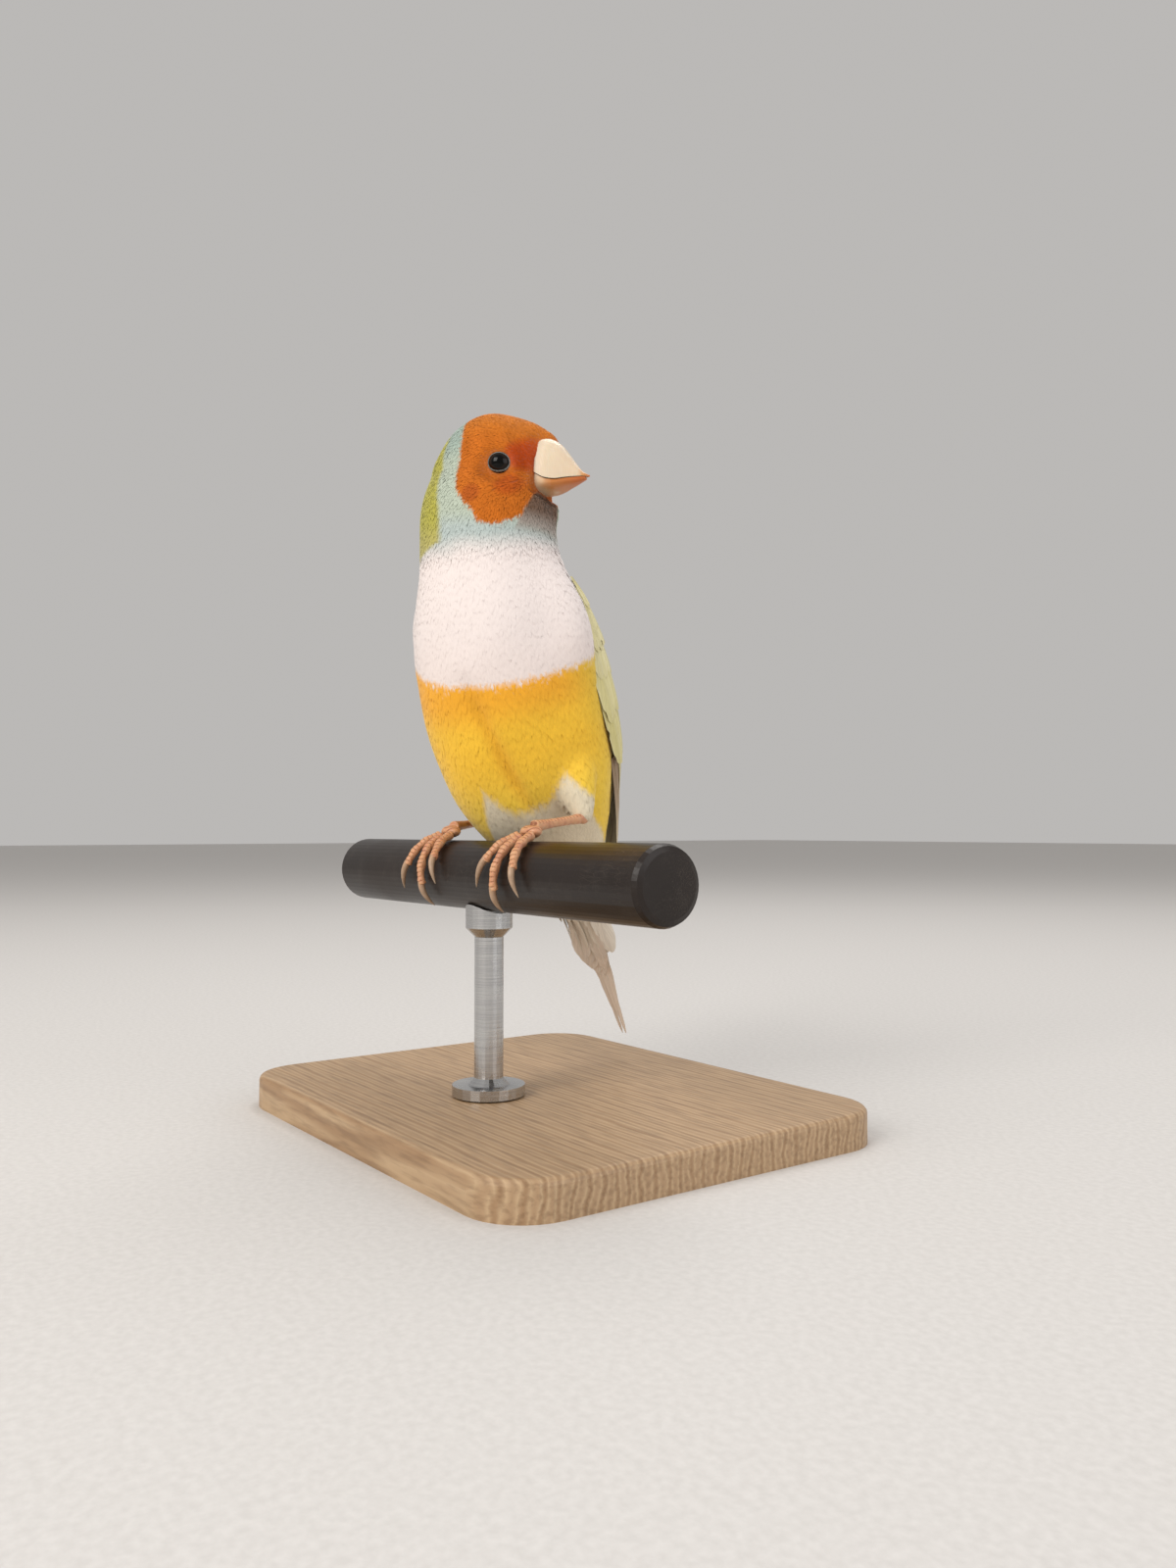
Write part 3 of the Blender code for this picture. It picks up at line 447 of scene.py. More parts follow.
def sculpt(points, place, angle):
    """Add the groove of the belly, the parting of the breast, and swellings."""
    outward = unit(points - spine_point(place))
    groove = bell((angle, midline(place), 7.0)) * np.clip((place - 6.9) / 0.8, 0.0, 1.0)
    groove *= np.clip((10.4 - place) / 1.2, 0.0, 1.0)
    parting = bell((angle, 12.0, 10.0)) * np.clip((place - 4.6) / 1.0, 0.0, 1.0)
    parting *= np.clip((7.4 - place) / 0.8, 0.0, 1.0)
    fluff = np.sin(angle * 0.075 + place * 1.7) * np.sin(place * 2.3 + angle * 0.02)
    low = np.clip((place - 5.0) / 2.0, 0.0, 1.0)
    # Swellings: breast over the bend of the wing, flank over its lower edge, far cheek, nape
    swell = 2.9 * bell((np.abs(angle), 88.0, 17.0), (place, 6.4, 1.15))
    swell += 1.8 * bell((angle, 84.0, 20.0), (place, 9.5, 2.0))
    ahead, left, up = head_place(points)
    swell += 1.3 * np.exp(-((ahead - 8.8) ** 2 + (left - 3.2) ** 2 + (up + 5.8) ** 2) / 8.0)
    swell += 1.5 * bell((ahead, -12.3, 3.0), (left, 0.0, 6.0), (up, 0.2, 2.8))
    points = points + outward * (-1.3 * groove - 0.3 * parting + 0.16 * fluff * low + swell)[:, None]
    # Flat behind the base of the bill, so that the horn stands clear of the face
    ahead, left, up = head_place(points)
    limit = 9.1 + 1.9 * step(-up, 4.4, 6.4) + 4.0 * step(up, 1.5, 4.5)
    limit += 1.8 * step(left, 1.0, 3.0) * step(-up, 4.0, 5.2)
    too_far = np.maximum(ahead - limit, 0.0) * step(up, -8.6, -6.4)
    return points - np.outer(0.9 * too_far, BILL_WAY)


def set_eyes(points):
    """Hollow the skin behind each eye and raise it to the rim of its lids."""
    for side, eye in EYE.items():
        away = points - eye
        height = away @ LOOK[side]
        near = np.linalg.norm(away - np.outer(height, LOOK[side]), axis=1)
        share = (1.0 - step(near, 2.2, 4.8)) * (height > -3.0)
        rim = 0.95 - 1.9 * (1.0 - step(near, 0.9, 1.9))
        points = points + np.outer((rim - height) * share, LOOK[side])
    return points


points = points_of(skin.data)
move_points(skin.data, set_eyes(sculpt(points, *body_place(points))))

# Where the mask ends, seen from the side of the head: ahead of its middle, and up
MASK_EDGE = np.array([
    (-5.4, 11.4), (-4.2, 8.4), (-3.5, 6.1), (-3.2, 4.0), (-3.1, 0.2), (-2.0, -5.3), (-0.1, -7.8),
    (1.7, -9.4), (2.7, -11.3), (4.9, -11.7), (6.4, -11.5), (9.2, -9.4), (9.7, -7.5), (10.2, -5.8),
    (10.8, -5.2), (16.0, -5.0), (16.0, 14.0), (-5.4, 14.0)])


def past_mask(ahead, up):
    """Distance past the edge of the mask, below zero inside it."""
    start, end = MASK_EDGE, np.roll(MASK_EDGE, -1, axis=0)
    point = np.stack((ahead, up), axis=1)
    nearest = np.full(len(point), 1e9)
    inside = np.zeros(len(point), dtype=bool)
    for a, b in zip(start, end):
        way = b - a
        u = np.clip(((point - a) @ way) / (way @ way), 0.0, 1.0)
        nearest = np.minimum(nearest, np.linalg.norm(point - a - u[:, None] * way, axis=1))
        crosses = (a[1] > point[:, 1]) != (b[1] > point[:, 1])
        side = a[0] + (point[:, 1] - a[1]) / (b[1] - a[1] + 1e-12) * way[0]
        inside ^= crosses & (point[:, 0] < side)
    return np.where(inside, -nearest, nearest)


def laid_over(colour, *layers):
    """A colour with others laid over it: each layer is a colour and its share at every point."""
    for other, share in layers:
        colour = colour + (np.asarray(other) - np.asarray(colour)) * share[:, None]
    return colour


def ripple(points, size, seed):
    """Soft irregular waves from -1 to 1 over points in space."""
    ways = np.random.default_rng(seed).normal(size=(5, 3))
    return np.sin(points @ (unit(ways).T / size) + np.arange(5) * 1.7).sum(axis=1) / 3.0


def turned(angle, middle):
    """Angle away from a middle, the short way round."""
    return np.abs((angle - middle + 180.0) % 360.0 - 180.0)


def markings(points, stray=0.0):
    """Colour of the plumage at points: stray moves a point's borders a little, feather by feather."""
    ahead, left, up = head_place(points)
    place, angle = body_place(points)
    wave = ripple(points, 1.1, 3)
    past = past_mask(ahead, up) + stray + 0.16 * wave
    on_throat = step(ahead - 0.45 * (up + 6.0) - 0.4 * np.maximum(np.abs(left) - 2.0, 0.0), 7.9, 8.4)
    on_throat *= step(-up, 3.6, 4.3) * step(2.8 - left, 0.0, 1.0)
    edge = place + 0.25 * ((angle - 45.0) / 90.0) ** 2 + 0.12 * stray + 0.02 * wave
    # Belly: orange just under the breast, then golden, then lemon on the flanks, with painted shade as a
    # darker orange along the groove of the belly
    belly = laid_over((0.86, 0.40, 0.024),
                      ((0.90, 0.53, 0.036), step(place, 7.4, 8.3)),
                      ((0.88, 0.60, 0.06), step(place, 8.6, 10.0)),
                      ((0.74, 0.52, 0.05), step(turned(angle, midline(place)), 50.0, 90.0)),
                      # Painted shade: darker orange along the crease of the belly's groove
                      ((0.78, 0.38, 0.02), 0.6 * (bell((angle, midline(place), 4.5)) * step(place, 7.2, 7.8))
                       * (1.0 - step(place, 9.0, 10.2))))
    vent = np.interp(turned(angle, 28.0), (0.0, 12.0, 28.0, 38.0, 47.0, 62.0, 90.0),
                     (9.85, 9.7, 9.25, 9.9, 10.8, 11.6, 12.0)) + 0.1 * stray + 0.05 * wave
    # Back: pale yellow green mantle, then the washed-out blue of the rump and upper tail
    mantle = laid_over((0.43, 0.40, 0.055),
                       ((0.47, 0.42, 0.13), step(place, 3.4, 4.6)),
                       ((0.50, 0.56, 0.52), step(place + 0.1 * wave, 10.3, 11.2)))
    right = np.interp(place, (1.3, 2.7, 3.9, 4.35, 4.8, 5.5, 7.2),
                      (-27.0, -14.0, -10.0, -10.0, -62.0, -88.0, -108.0))
    far = np.interp(place, (0.0, 3.7, 7.2), (-164.0, -172.0, -252.0))
    spread_of_back = (right - far) / 2.0 - 2.0 * stray - 1.5 * wave
    on_back = step(spread_of_back - turned(angle, (right + far) / 2.0), -5.0, 5.0)
    on_back *= np.maximum(step(past, 3.4, 4.6), step(place, 3.4, 3.9))
    # Collar: pale turquoise, round the whole neck, fading down into the breast
    collar = laid_over((0.34, 0.43, 0.37),
                       ((0.46, 0.52, 0.42), step(-up, -4.5, 0.5)),
                       ((0.44, 0.51, 0.49), step(-up, 9.0, 13.0)))
    # Throat: smoky grey brown between the bill and the collar
    smoke = laid_over((0.16, 0.09, 0.055), ((0.36, 0.31, 0.27), step(-up, 7.5, 11.0)))
    # Mask: orange, deeper red before the eye, browner low behind the cheek
    lore = 1.0 - step(((ahead - 8.0) / 2.6) ** 2 + ((up - 1.9) / 3.4) ** 2 + 0.25 * wave, 0.3, 1.5)
    smudge = 1.0 - step(((ahead - 1.0) / 1.7) ** 2 + ((up + 6.4) / 1.6) ** 2 + 0.3 * wave, 0.2, 1.6)
    mask = laid_over((0.56, 0.145, 0.012),
                     ((0.58, 0.175, 0.016), step(up, 3.0, 9.0)),
                     ((0.47, 0.09, 0.008), 1.0 - step(np.hypot(ahead - 6.6, up + 4.2), 1.2, 3.0)),
                     ((0.50, 0.065, 0.004), lore),
                     ((0.42, 0.085, 0.011), 0.75 * smudge))
    mask *= (1.0 + 0.07 * ripple(points, 0.55, 8))[:, None]
    # White breast, then belly, white vent and thighs, collar, back, throat and mask over it
    colour = laid_over((0.83, 0.74, 0.71),
                       ((0.80, 0.66, 0.60), 0.25 * step(place, 6.2, 7.2)),
                       (belly, step(edge, 7.25, 7.31)),
                       ((0.74, 0.65, 0.48), step(place - vent, -0.1, 0.18)),
                       ((0.78, 0.73, 0.64), step(place, 11.5, 12.6)),
                       (collar, 1.0 - step(place + 0.04 * wave, 4.15, 4.9)),
                       (mantle, on_back),
                       (smoke, np.minimum(3.0 * on_throat, 1.0) * (1.0 - step(-up, 10.5, 13.0))),
                       (mask, (1.0 - step(past, -0.12, 0.3)) * (1.0 - on_throat)))
    return np.clip(colour, 0.002, 0.95)


def paint(mesh, colours):
    """Store colours on a mesh's points for its finish to read."""
    if "plumage" in mesh.attributes:
        mesh.attributes.remove(mesh.attributes["plumage"])
    layer = mesh.color_attributes.new("plumage", "FLOAT_COLOR", "POINT")
    full = np.ones((len(colours), 4), dtype=np.float32)
    full[:, :3] = colours
    layer.data.foreach_set("color", full.ravel())


SHEET, EDGE = 0.97, 0.015  # size of the skin's unwrap, and the bare edge round it


def unwrap(points):
    """Place on an unwrap of the skin: round the spine, and from the crown down to the tail."""
    place, angle = body_place(points)
    return np.stack(((angle + 180.0) / 360.0, (16.5 - place) / 19.2), axis=1) * SHEET + EDGE


def set_uv(mesh, spots):
    """Store the places of a mesh's corners on its sheet."""
    mesh.uv_layers.new(name="OFBake").data.foreach_set("uv", spots.astype(np.float32).ravel())


def painted(tree, name, output="Fac"):
    """What is stored on the points of a piece."""
    return node(tree, "ShaderNodeAttribute", attribute_name=name).outputs[output]


def barb_and_root_shade_group():
    """Barbs of a feather: fine lines that run out from the shaft, painted shade darkening each feather
    towards its root, and how each feather's tone strays.
    """
    tree, given, out = new_group("barbs_and_root_shade", "Shader", dict.fromkeys(("Lines", "Stray", "Contrast"), "Float"),
                                 {"Tone": "Float", "Height": "Float"})
    split = node(tree, "ShaderNodeSeparateXYZ", {0: painted(tree, "blade", "Vector")}).outputs
    slant = calc(tree, "MULTIPLY_ADD", calc(tree, "ABSOLUTE", split[0]), -0.55, split[1])
    spot = node(tree, "ShaderNodeCombineXYZ", {0: slant, 1: split[0], 2: split[2]}).outputs[0]
    lines = noise(tree, vector(tree, "MULTIPLY", spot, (1.0, 0.12, 7.0)), given["Lines"], 2.0)
    # Barb lines, and painted shade darkening each feather towards its root, where it lies under its
    # neighbours
    lines_and_root_shade = calc(tree, "ADD", spread(tree, lines, -0.2, 0.16, 0.3, 0.7),
                 spread(tree, split[1], -0.12, 0.0, 0.0, 0.55))
    lines_and_root_shade = calc(tree, "MULTIPLY_ADD", lines_and_root_shade, given["Contrast"], 1.0)
    own = calc(tree, "MULTIPLY_ADD", calc(tree, "ADD", split[2], -0.5), given["Stray"], 1.0)
    tree.links.new(calc(tree, "MULTIPLY", lines_and_root_shade, own), out["Tone"])
    tree.links.new(lines, out["Height"])
    return tree


def feather_finish(name, lines, stray, height, contrast=0.6, sheen=0.25, gloss=0.25):
    """Finish of feathers: painted colour, toned barb by barb, with painted shade towards each feather's root.
    """
    finish, tree = new_finish(name, {"Sheen Weight": sheen, "Sheen Roughness": 0.45,
                                     "Specular IOR Level": gloss})
    made = node(tree, "ShaderNodeGroup", {"Lines": lines, "Stray": stray, "Contrast": contrast},
                node_tree=barbs_and_root_shade).outputs
    surface(tree, vector(tree, "SCALE", painted(tree, "plumage", "Color"), made["Tone"]),
            (made["Height"], 0.64, 0.8), (made["Height"], height, 0.00008))
    return finish


barbs_and_root_shade = barb_and_root_shade_group()
down, tree = new_finish("down on the skin", {"Roughness": 0.85, "Sheen Weight": 0.3})
tufts = noise(tree, object_place(tree, (1.0, 1.0, 0.35)), 2600.0, 3.0)
darker = ramp(tree, tufts, [(0.3, (0.74, 0.72, 0.70)), (0.7, (0.96, 0.96, 0.96))])
surface(tree, mixed(tree, 1.0, painted(tree, "plumage", "Color"), darker, "MULTIPLY"),
        bump=(tufts, 0.5, 0.00015))

points = points_of(skin.data)
paint(skin.data, markings(points))
skin.data.materials.clear()
skin.data.materials.append(down)
# A face that crosses the sheet's edge keeps to the side of its first corner
corner = read(skin.data.loops, "vertex_index", 1, int)
spot = unwrap(points)[corner]
first = read(skin.data.polygons, "loop_start", 1, int)
from_first = spot[:, 0] - spot[np.repeat(first, np.diff(np.append(first, len(corner)))), 0]
spot[:, 0] += ((from_first < -0.5) * 1.0 - (from_first > 0.5)) * SHEET
set_uv(skin.data, spot)
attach(skin, "root")
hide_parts("head", "neck", "torso", "thigh_left", "thigh_right")

# Coat of small feathers.
# Every contour feather is a small closed blade, rooted on the skin and laid along the body so that
# it overlaps those behind it. They are smallest at the bill and round the eyes, and longest on the
# flanks. They stand in tracts: mask, collar, breast, belly, back, and flanks with the vent.


def blade_mesh(name, outline, rise):
    """Thin closed blade, one unit long and wide; rise is how far each row lies above the root."""
    bm = bmesh.new()
    shape = bm.verts.layers.float_vector.new("blade")
    height = bm.verts.layers.float.new("rise")

    def dot(across, along, up, over_skin):
        vert = bm.verts.new((across / 2.0, along, 0.0))
        vert[shape] = (across, along, 0.0)
        vert[height] = over_skin + up
        return vert

    first = dot(0.0, 0.0, 0.0, rise[0])
    last = dot(0.0, 1.0, 0.0, rise[-1])
    rows = [(dot(-wide, along, 0.0, lift - 0.1), dot(0.0, along, 0.12, lift),
             dot(wide, along, 0.0, lift - 0.1), dot(0.0, along, -0.1, lift))
            for (along, wide), lift in zip(outline, rise[1:-1])]
    turns = [(i, (i + 1) % 4) for i in range(4)]
    for a, b in zip(rows, rows[1:]):
        for i, j in turns:
            bm.faces.new((a[i], b[i], b[j], a[j]))
    for i, j in turns:
        bm.faces.new((first, rows[0][i], rows[0][j]))
        bm.faces.new((last, rows[-1][j], rows[-1][i]))
    bmesh.ops.recalc_face_normals(bm, faces=bm.faces)
    bmesh.ops.triangulate(bm, faces=bm.faces)
    for face in bm.faces:
        face.smooth = True
    for edge in bm.edges:
        sides = [abs(vert.co.x) > 0.01 for vert in edge.verts]
        edge.smooth = not (any(sides) and all(side or vert in (first, last)
                                              for side, vert in zip(sides, edge.verts)))
    mesh = bpy.data.meshes.new(name)
    bm.to_mesh(mesh)
    bm.free()
    return mesh


def coat_tree():
    """Roots scattered at an even spacing, a blade on each, and all of them laid on the skin."""
    sizes = dict.fromkeys(("Spacing", "Length", "Width", "Lift", "Ruffle", "Silk"), "Float")
    tree, given, out = new_group(
        "coat of feathers", "Geometry",
        {"Geometry": "Geometry", **sizes, "Seed": "Int", "Blade": "Object", "Skin": "Object",
         "Finish": "Material"}, {"Geometry": "Geometry"})
    tree.is_modifier = True

    def field(name, kind="FLOAT"):
        return node(tree, "GeometryNodeInputNamedAttribute", {"Name": name},
                    data_type=kind).outputs["Attribute"]

    def store(geometry, name, value, kind="FLOAT"):
        return node(tree, "GeometryNodeStoreNamedAttribute",
                    {"Geometry": geometry, "Name": name, "Value": value},
                    data_type=kind, domain="POINT").outputs[0]

    def chance(low, high, seed):
        return node(tree, "FunctionNodeRandomValue",
                    {2: low, 3: high, "Seed": calc(tree, "ADD", given["Seed"], float(seed))},
                    data_type="FLOAT").outputs[1]

    def times(*values):
        result = values[0]
        for value in values[1:]:
            result = calc(tree, "MULTIPLY", result, value)
        return result

    roots = node(tree, "GeometryNodeDistributePointsOnFaces",
                 {"Mesh": given["Geometry"], "Distance Min": given["Spacing"],
                  "Density Max": MOST_ROOTS, "Density Factor": field("cover"),
                  "Seed": given["Seed"]}, distribute_method="POISSON").outputs
    place = node(tree, "GeometryNodeInputPosition").outputs[0]
    kept = store(roots["Points"], "root", place, "FLOAT_VECTOR")
    kept = store(kept, "tone", chance(0.0, 1.0, 5))
    aim = node(tree, "FunctionNodeAxesToRotation",
               {"Primary Axis": roots["Normal"], "Secondary Axis": field("lie", "FLOAT_VECTOR")},
               primary_axis="Z", secondary_axis="Y").outputs[0]
    spin = node(tree, "ShaderNodeCombineXYZ", {2: times(chance(-1.0, 1.0, 11), given["Ruffle"])})
    turn = node(tree, "FunctionNodeEulerToRotation", {0: spin.outputs[0]}).outputs[0]
    aim = node(tree, "FunctionNodeRotateRotation", {"Rotation": aim, "Rotate By": turn},
               rotation_space="LOCAL").outputs[0]
    size = field("size")
    scale = node(tree, "ShaderNodeCombineXYZ", {
        0: times(given["Width"], size), 1: times(given["Length"], size, chance(0.8, 1.2, 17)), 2: 1.0})
    blade = node(tree, "GeometryNodeObjectInfo", {"Object": given["Blade"]}).outputs["Geometry"]
    placed = node(tree, "GeometryNodeInstanceOnPoints",
                  {"Points": kept, "Instance": blade, "Rotation": aim, "Scale": scale.outputs[0]})
    real = node(tree, "GeometryNodeRealizeInstances", {"Geometry": placed.outputs[0]}).outputs[0]
    body = node(tree, "GeometryNodeObjectInfo", {"Object": given["Skin"]}).outputs["Geometry"]
    spot = node(tree, "GeometryNodeProximity", {0: body}, target_element="FACES").outputs["Position"]
    out_way = node(tree, "GeometryNodeSampleNearestSurface",
                   {"Mesh": body, "Value": field("outward", "FLOAT_VECTOR")},
                   data_type="FLOAT_VECTOR").outputs["Value"]
    real = store(real, "outward", out_way, "FLOAT_VECTOR")
    out_way = field("outward", "FLOAT_VECTOR")
    own = calc(tree, "MULTIPLY_ADD", field("tone"), 0.3, 0.85)
    lift = times(field("rise"), given["Lift"], own, size)
    place = vector(tree, "ADD", spot, vector(tree, "SCALE", out_way, lift))
    laid = node(tree, "GeometryNodeSetPosition", {"Geometry": real, "Position": place}).outputs[0]
    # The upper faces are shaded partly like the skin below them, as silky as plumage looks
    way = node(tree, "GeometryNodeInputNormal").outputs
    facing = node(tree, "ShaderNodeVectorMath", {0: way["True Normal"], 1: out_way},
                  operation="DOT_PRODUCT").outputs["Value"]
    share = times(calc(tree, "GREATER_THAN", facing, 0.0), given["Silk"])
    soft = node(tree, "ShaderNodeMix", {"Factor": share, 4: way["Normal"], 5: out_way},
                data_type="VECTOR").outputs[1]
    soft = node(tree, "ShaderNodeVectorMath", {0: soft}, operation="NORMALIZE").outputs[0]
    laid = node(tree, "GeometryNodeSetMeshNormal", {"Mesh": laid, "Custom Normal": soft},
                mode="FREE", domain="CORNER").outputs[0]
    done = node(tree, "GeometryNodeSetMaterial", {"Geometry": laid, "Material": given["Finish"]})
    tree.links.new(done.outputs[0], out[0])
    return tree


def lie_of_coat(points, outward):
    """Way that the feathers point: back from the bill, down the neck and along the body."""
    ahead, left, up = head_place(points)
    place, _ = body_place(points)
    backward = np.clip((ahead + 13.0) / 16.0, 0.0, 1.0)[:, None]
    down = (1.5 * step(-ahead, -6.0, 7.0) + 1.3 * step(-up, -1.0, 8.0))[:, None]
    on_skull = -BILL_WAY * backward - UP * down
    front = step(ahead, 8.6, 10.2)[:, None]
    on_skull = on_skull + front * 1.6 * unit(points - on_head(9.0, 0.0, -0.8))
    on_trunk = step(place, 2.4, 4.4)[:, None]
    way = unit(on_skull) * (1.0 - on_trunk) + spine_frame(place)[1] * on_trunk
    return unit(way - outward * np.sum(way * outward, axis=1, keepdims=True))


def lay_coat(name, cover, spacing, length, width, lift, ruffle, silk, seed, blade, finish, stray):
    """One tract of feathers: made by the tree, painted feather by feather, and unwrapped by its roots."""
    coat = new_piece(name, skin.data.copy())
    store_points(coat.data, "cover", np.clip(cover, 0.0, 1.0))
    made = coat.modifiers.new("coat", "NODES")
    made.node_group = feather_coat
    values = {"Spacing": spacing * MM, "Length": length * MM, "Width": width * MM,
              "Lift": lift * MM, "Ruffle": math.radians(ruffle), "Silk": silk, "Seed": seed,
              "Blade": blade, "Skin": skin, "Finish": finish}
    for socket in feather_coat.interface.items_tree:
        if socket.in_out == "INPUT" and socket.name in values:
            made[socket.identifier] = values[socket.name]
    mesh = applied(coat)
    stored = mesh.attributes
    root = read(stored["root"].data, "vector") / MM
    tone = read(stored["tone"].data, "value", 1)
    shape = read(stored["blade"].data, "vector")
    # One root for each blade: all its points share it
    starts = np.flatnonzero(np.any(np.diff(root, axis=0, prepend=root[:1] + 9.0) != 0.0, axis=1))
    which = np.repeat(np.arange(len(starts)), np.diff(np.append(starts, len(root))))
    paint(mesh, markings(points_of(mesh), (tone - 0.5) * stray))
    shape[:, 2] = tone
    store_points(mesh, "blade", shape)
    corner = read(mesh.loops, "vertex_index", 1, int)
    patch = (shape[corner, :2] * (0.5, 1.0) - (0.0, 0.5)) * PATCH
    set_uv(mesh, unwrap(root[starts])[which][corner] + patch)
    for left_over in ("root", "tone", "rise", "cover", "size", "lie", "outward"):
        if left_over in mesh.attributes:
            mesh.attributes.remove(mesh.attributes[left_over])
    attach(coat, "root")


MOST_ROOTS = 40000000.0  # for each square metre
PATCH = 0.003  # size of a feather's patch on the skin's unwrap
feather_coat = coat_tree()
slim_blade = new_piece("slim_blade", blade_mesh(
    "slim blade", [(0.3, 0.85), (0.7, 0.8)], (-0.35, 0.3, 0.8, 0.9)))
broad_blade = new_piece("broad_blade", blade_mesh(
    "broad blade", [(0.35, 0.9), (0.78, 0.86)], (-0.35, 0.3, 0.85, 0.95)))

points = points_of(skin.data)
outward = read(skin.data.vertices, "normal")
ahead, left, up = head_place(points)
place, angle = body_place(points)
past = past_mask(ahead, up)
lie = lie_of_coat(points, outward)

# Bare ring round each eye, and shorter feathers near it and near the bill
bare = np.ones(len(points))
size = np.ones(len(points))
for side, look in LOOK.items():
    across = unit(np.cross(UP, look))
    high = np.cross(look, across)
    away = points - EYE[side]
    near = np.hypot(away @ across, 1.17 * (away @ high))
    tip = away + lie * 0.6
    near = np.minimum(near, np.hypot(tip @ across, 1.17 * (tip @ high)))
    near = np.where(away @ look > 0.0, near, 99.0)
    bare *= step(near, 2.0, 2.15)
    size *= 0.42 + 0.58 * step(near, 2.1, 4.6)
to_bill = np.linalg.norm(np.stack((ahead - 10.6, left * 0.9, up - 0.4)), axis=0)
size *= 0.5 + 0.5 * step(to_bill, 4.5, 8.5)
size *= 0.85 + 0.15 * step(place, 2.0, 5.0)
store_points(skin.data, "outward", outward)
store_points(skin.data, "lie", lie)
store_points(skin.data, "size", size)

on_mask = (1.0 - step(past, 0.2, 0.7)) * bare
on_neck = step(past, -0.5, 0.0) * (1.0 - step(place, 4.5, 4.9)) * bare
below_neck = step(place, 4.4, 4.8)
rear = step(turned(angle, 0.0), 96.0, 104.0)
on_breast = below_neck * (1.0 - rear) * (1.0 - step(place, 7.3, 7.5))
on_belly = (1.0 - rear) * step(place, 7.0, 7.2) * (1.0 - step(place, 9.9, 10.1))
on_vent = (1.0 - rear) * step(place, 9.7, 9.9)

lay_coat("coat_mask", on_mask, 0.24, 1.5, 0.5, 0.2, 9.0, 0.5, 11, slim_blade,
         feather_finish("orange mask feathers", 9.0, 0.12, 0.5, sheen=0.03, gloss=0.12), 0.5)
lay_coat("coat_neck", on_neck, 0.3, 2.0, 0.6, 0.24, 8.0, 0.55, 12, slim_blade,
         feather_finish("turquoise collar feathers", 9.0, 0.1, 0.5), 0.8)
lay_coat("coat_breast", on_breast, 0.34, 3.2, 0.95, 0.2, 3.0, 0.88, 13, slim_blade,
         feather_finish("white breast feathers", 10.0, 0.025, 0.25, contrast=0.14), 0.5)
lay_coat("coat_belly", on_belly, 0.42, 3.6, 1.0, 0.28, 6.0, 0.7, 14, slim_blade,
         feather_finish("golden belly feathers", 10.0, 0.05, 0.35, contrast=0.4), 1.0)
lay_coat("coat_vent", on_vent, 0.4, 3.4, 0.95, 0.3, 10.0, 0.5, 15, slim_blade,
         feather_finish("white vent feathers", 9.0, 0.05, 0.35, contrast=0.4), 1.2)
lay_coat("coat_back", below_neck * rear, 0.5, 3.8, 1.5, 0.34, 7.0, 0.5, 16, broad_blade,
         feather_finish("yellow green back feathers", 10.0, 0.12, 0.5), 1.2)

# Folded wings.
# Each wing is an arm that lies on the flank, with its feathers in tiers: primaries and secondaries
# as long vanes below, then tertials, and rows of coverts that shrink towards the shoulder. Every
# feather is a thin closed vane with a raised shaft and a split or two in its edge.

VANE_COLUMNS = np.array((-1.0, -0.72, -0.4, -0.14, -0.045, 0.0, 0.045, 0.14, 0.4, 0.72, 1.0))
VANE_ROWS = 20


